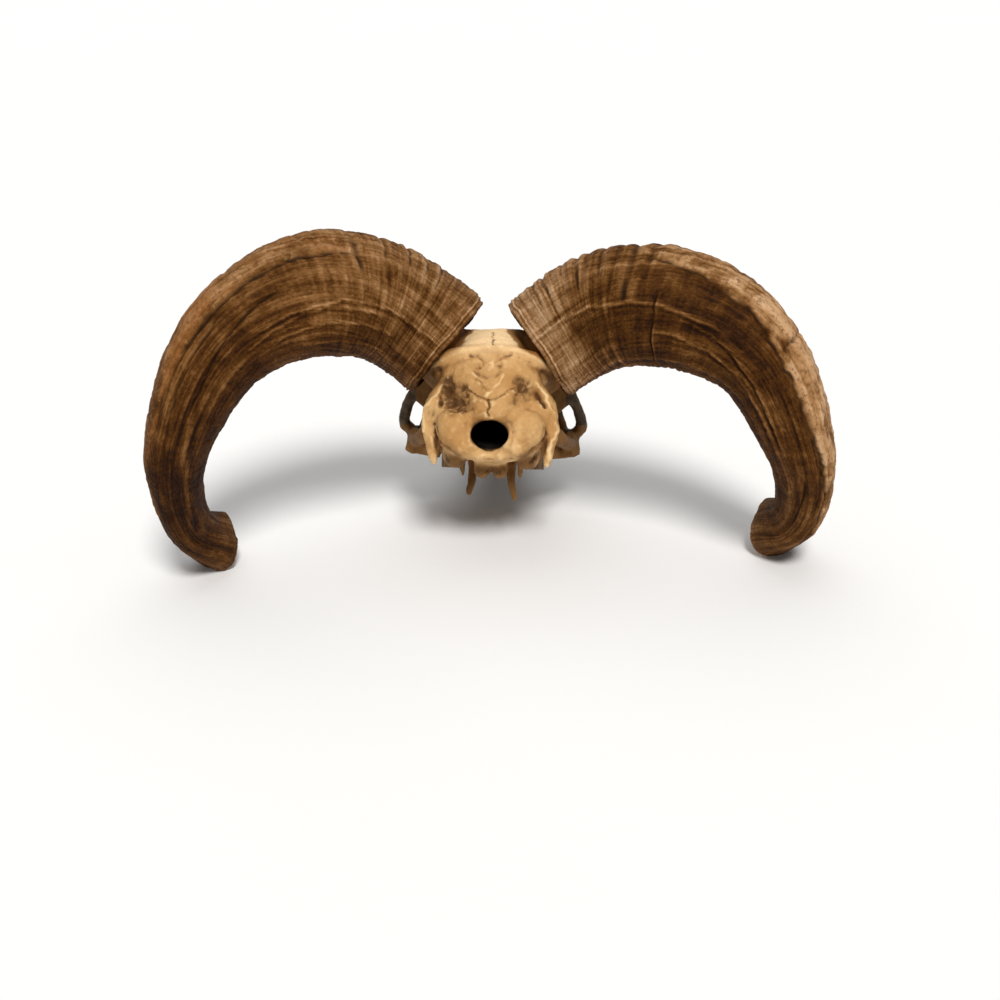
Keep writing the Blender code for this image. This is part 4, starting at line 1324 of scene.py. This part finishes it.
def bone_material():
    """Dry amber bone under a worn charcoal coat at the front, with painted shade in brown in its creases,
    seams, hollows, closed-in and low parts and painted highlights on its crests and roof.
    """
    s = Surface("aged_bone", 0.62, 0.16)
    place = s.place()
    wide = s.noise(place, 22.0)
    mid = s.noise(place, 75.0, 5.0, 0.6)
    fine = s.noise(place, 420.0, 4.0, 0.6)
    patchy = s.band(wide, 0.35, 0.66)
    crease = s.value("hollow")
    pale = s.value("pale")
    # Painted shade of closed-in places, weaker on the pale roof, mottled by noise
    occlusion_shade = s.times(s.value("occlusion_shade"), s.band(pale, 0.0, 1.0, 1.0, 0.25))
    shade_and_mottle = s.plus(occlusion_shade, s.band(mid, 0.3, 0.7, -0.09, 0.09))
    seam_shade = s.times(s.value("seam_shade"), s.band(mid, 0.25, 0.6, 0.6, 1.0))
    pores = s.cells(place, 520.0)
    specks = s.times(s.band(pores, 0.22, 0.08), s.band(s.noise(place, 60.0), 0.5, 0.62))
    scuffs = s.band(s.noise(place, 130.0, 6.0, 0.7), 0.56, 0.74, 0.0, 0.45)
    worn = s.plus(s.band(crease, 0.36, 0.16, 0.0, 0.4), scuffs)
    coat = s.band(s.plus(s.value("coat"), s.times(worn, -0.62)), 0.30, 0.48)
    brushed = s.noise(s.stretch(place, (1.0, 0.25, 1.0)), 160.0)
    charcoal = s.blend(s.band(brushed, 0.35, 0.7), "433627", "62503a")
    colour = s.coats(
        s.blend(patchy, "b98b54", "d8af78"),
        (s.band(mid, 0.48, 0.72, 0.0, 0.72), "a27440"),
        # Painted highlight on the crests of the bone and painted shade in its creases
        (s.band(crease, 0.45, 0.22, 0.0, 0.8), "eccb97"),
        (s.band(crease, 0.55, 0.82, 0.0, 0.88), "6a4421"),
        # Painted highlight on the roof and the crest, where the light from above falls
        (s.band(pale, 0.0, 1.0, 0.0, 0.95), "ffdca9"),
        # Painted shade where bone and horn close the bone in
        (s.band(shade_and_mottle, 0.18, 0.50, 0.0, 0.72), "7d5228"),
        (s.band(shade_and_mottle, 0.42, 0.85, 0.0, 0.85), "3f2813"),
        # Painted shade under the head, deep behind the cheeks, in the temples and on the jaw hooks
        (s.value("old"), s.blend(patchy, "62401a", "7a5326")),
        # Painted shade in the seams, grooves and hollows of the back of the head
        (s.band(seam_shade, 0.04, 0.70, 0.0, 0.92), "50331a"),
        # Painted shadow on the bone beside the horns' rims
        (s.band(s.value("rim_shadow"), 0.1, 0.9, 0.0, 0.92), "8f5c28"),
        (s.times(specks, 0.5), "5d3f21"),
        (s.band(fine, 0.3, 0.7, 0.0, 0.16), "85602f"),
        (coat, charcoal),
        # Painted shade inside the canal and the braincase
        (s.value("dark"), "0e0603"))
    s.fill(s.shader, {"Roughness": s.band(coat, 0.0, 1.0, 0.66, 0.5)})
    pits = s.band(pores, 0.25, 0.05)
    return s.finish(colour, (mid, 0.0013, 0.8), (fine, 0.0004, 0.6), (pits, 0.0004, -0.5))


def horn_material(name, stops, glow):
    """Weathered keratin: fibres along the horn, growth lines across it, painted shade in its grooves and
    cracks, and a worn band.
    """
    s = Surface(name, 0.5, 0.07)
    grain = s.value("grain", "Vector")
    band = s.value("band")
    strands = s.grain_noise(grain, (0.55, 0.55, 0.020), 6.0, 0.62)
    wide = s.grain_noise(grain, (0.16, 0.16, 0.010))
    steps = s.grain_noise(grain, (0.022, 0.022, 0.50), 5.0, 0.6, 0.3)
    patches = s.grain_noise(grain, (0.06, 0.06, 0.04))
    speck = s.grain_noise(grain, (0.7, 0.7, 0.5), 4.0, 0.65)
    flecks = s.grain_noise(grain, (0.35, 0.35, 0.42), 5.0, 0.7)
    near_base = s.band(s.height(grain), 170.0, 30.0, 0.15, 1.0)
    tone = s.plus(
        s.value("tone"),
        s.band(strands, 0.25, 0.75, -0.11, 0.11),
        s.band(wide, 0.30, 0.70, -0.06, 0.06),
        s.times(s.band(steps, 0.25, 0.75, -0.11, 0.11), near_base),
        s.band(patches, 0.30, 0.70, -0.07, 0.07),
        s.band(speck, 0.25, 0.75, -0.08, 0.08))
    groove_shade_and_specks = s.plus(s.value("groove_shade"), s.band(speck, 0.3, 0.7, -0.15, 0.15))
    colour = s.coats(
        s.ramp(tone, stops),
        (s.times(band, s.band(patches, 0.46, 0.66, 0.0, 0.6)), glow),
        (s.times(band, s.band(flecks, 0.50, 0.36, 0.0, 0.62)), "5a3618"),
        (s.times(band, s.band(flecks, 0.56, 0.70, 0.0, 0.30)), "d0a77b"),
        # Painted shade in the grooves, cracks and pocket, broken up by specks
        (s.band(groove_shade_and_specks, 0.25, 0.90, 0.0, 0.82), "150b05"))
    s.fill(s.shader, {"Roughness": s.band(speck, 0.3, 0.7, 0.80, 0.60)})
    return s.finish(colour, (strands, 0.0008, 0.6), (steps, 0.0007, 0.4), (speck, 0.0005, 0.6),
                    (flecks, 0.0008, 0.5))


def enamel_material():
    """Enamel stained and darkened to brown all over, partly as painted shade, and browner in the worn pits of
    the crown.
    """
    s = Surface("enamel", 0.4, 0.25)
    place = s.place()
    soft = s.noise(place, 160.0)
    streak = s.noise(s.stretch(place, (1.0, 1.0, 0.15)), 700.0, 3.0)
    colour = s.coats(
        s.blend(s.band(soft, 0.35, 0.68), "5f462a", "826443"),
        (s.band(streak, 0.55, 0.75, 0.0, 0.4), "6b4a28"),
        (s.band(s.value("worn"), 0.35, 0.9, 0.0, 0.9), "4a3018"))
    return s.finish(colour, (streak, 0.0003, 0.5), (soft, 0.0005, 0.4))


def dress(piece, material, slot, *nodes):
    """Gives a piece its finish, sets it down and lets it stand for its solids."""
    lay_down(piece)
    piece.data.materials.clear()
    piece.data.materials.append(material)
    piece.data.shade_smooth()
    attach(piece, "root")
    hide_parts(*nodes)


def into_scene(name, data):
    """An object for a camera or a lamp."""
    holder = bpy.data.objects.new(name, data)
    bpy.context.scene.collection.objects.link(holder)
    return holder


def make_camera():
    camera = bpy.data.cameras.new("camera")
    camera.sensor_width = SENSOR
    camera.lens = FOCAL_PIXELS / PICTURE * SENSOR
    camera.clip_start = 0.05
    holder = into_scene("camera", camera)
    right = Vector((1.0, 0.0, 0.0))
    per_pixel = CAMERA_FAR / FOCAL_PIXELS
    off_right, off_up = FORAMEN_OFF_CENTRE
    spot = -CAMERA_FAR * SIGHT + right * off_right * per_pixel - RISE * off_up * per_pixel
    pose = Matrix.Identity(4)
    for column, direction in enumerate((right, RISE, -SIGHT)):
        pose.col[column][:3] = direction
    pose.translation = spot * MM
    holder.matrix_world = rest_matrix() @ pose
    bpy.context.scene.camera = holder


def sunlight(name, come_from, power, spread, colour=(1.0, 1.0, 1.0)):
    lamp = bpy.data.lights.new(name, "SUN")
    lamp.energy = power
    lamp.angle = math.radians(spread)
    lamp.color = colour
    into_scene(name, lamp).rotation_euler = (-Vector(come_from)).to_track_quat("-Z", "Y").to_euler()


def make_studio():
    """A plain pale floor that rises behind the skull, and soft light from above and behind the camera."""
    bm = bmesh.new()
    bmesh.ops.create_grid(bm, x_segments=1, y_segments=1, size=FLOOR_HALF)
    far_edge = [edge for edge in bm.edges if all(vert.co.y > FLOOR_HALF - 0.1 for vert in edge.verts)]
    raised = bmesh.ops.extrude_edge_only(bm, edges=far_edge)["geom"]
    bmesh.ops.translate(bm, vec=FLOOR_RISE, verts=[v for v in raised if isinstance(v, bmesh.types.BMVert)])
    floor = new_object("floor", bm)
    floor.location.z = FLOOR_UNDER
    s = Surface("pale_floor", 0.9)
    floor.data.materials.append(s.finish(s.blend(s.noise(s.place(), 3.0, 2.0), "f6f6f5", "f8f8f7")))
    sunlight("key", (0.12, -0.66, 0.74), 2.7, 14.0, (1.0, 0.98, 0.96))
    sunlight("sky", (-0.10, 0.20, 0.97), 0.75, 70.0)
    world = bpy.data.worlds.new("studio")
    bpy.context.scene.world = world
    world.use_nodes = True
    backdrop = world.node_tree.nodes["Background"]
    backdrop.inputs["Color"].default_value = (1.0, 1.0, 1.0, 1.0)
    backdrop.inputs["Strength"].default_value = 0.22
    bpy.context.scene.view_settings.view_transform = "Standard"


def main():
    bone = skull_bone()
    bone_tree = tree_of([bone])
    left_sheath = horn_sheath("sheath_left", HornGrain(LEFT_HORN, -1, 4, LEFT_MARKS, 0.55), bone_tree)
    right_sheath = horn_sheath("sheath_right", HornGrain(RIGHT_HORN, 1, 9, RIGHT_MARKS, 0.8), bone_tree)
    everything = tree_of([bone, left_sheath, right_sheath])
    # Painted shade of the places that bone and horns close in
    paint(bone, "occlusion_shade", occlusion_shading(bone, everything, OCCLUSION_RAYS, OCCLUSION_REACH))
    # Painted shadow on the bone beside the horns' rims
    paint(bone, "rim_shadow", near_sheath(bone, tree_of([left_sheath, right_sheath]), RIM_SHADOW_REACH))
    dress(bone, bone_material(), "bone", "skull")
    dress(left_sheath, horn_material("left_keratin", HORN_TONES, "8a5526"), "horn", "horn_left")
    dress(right_sheath, horn_material("right_keratin", HORN_TONES, "b28659"), "horn", "horn_right")
    enamel = enamel_material()
    for side, word in ((-1, "left"), (1, "right")):
        for index, (label, *_) in enumerate(TEETH):
            dress(tooth("crown_" + word + "_" + label, index, side), enamel, "tooth",
                  "tooth_" + word + "_" + label)
    make_studio()
    make_camera()


main()
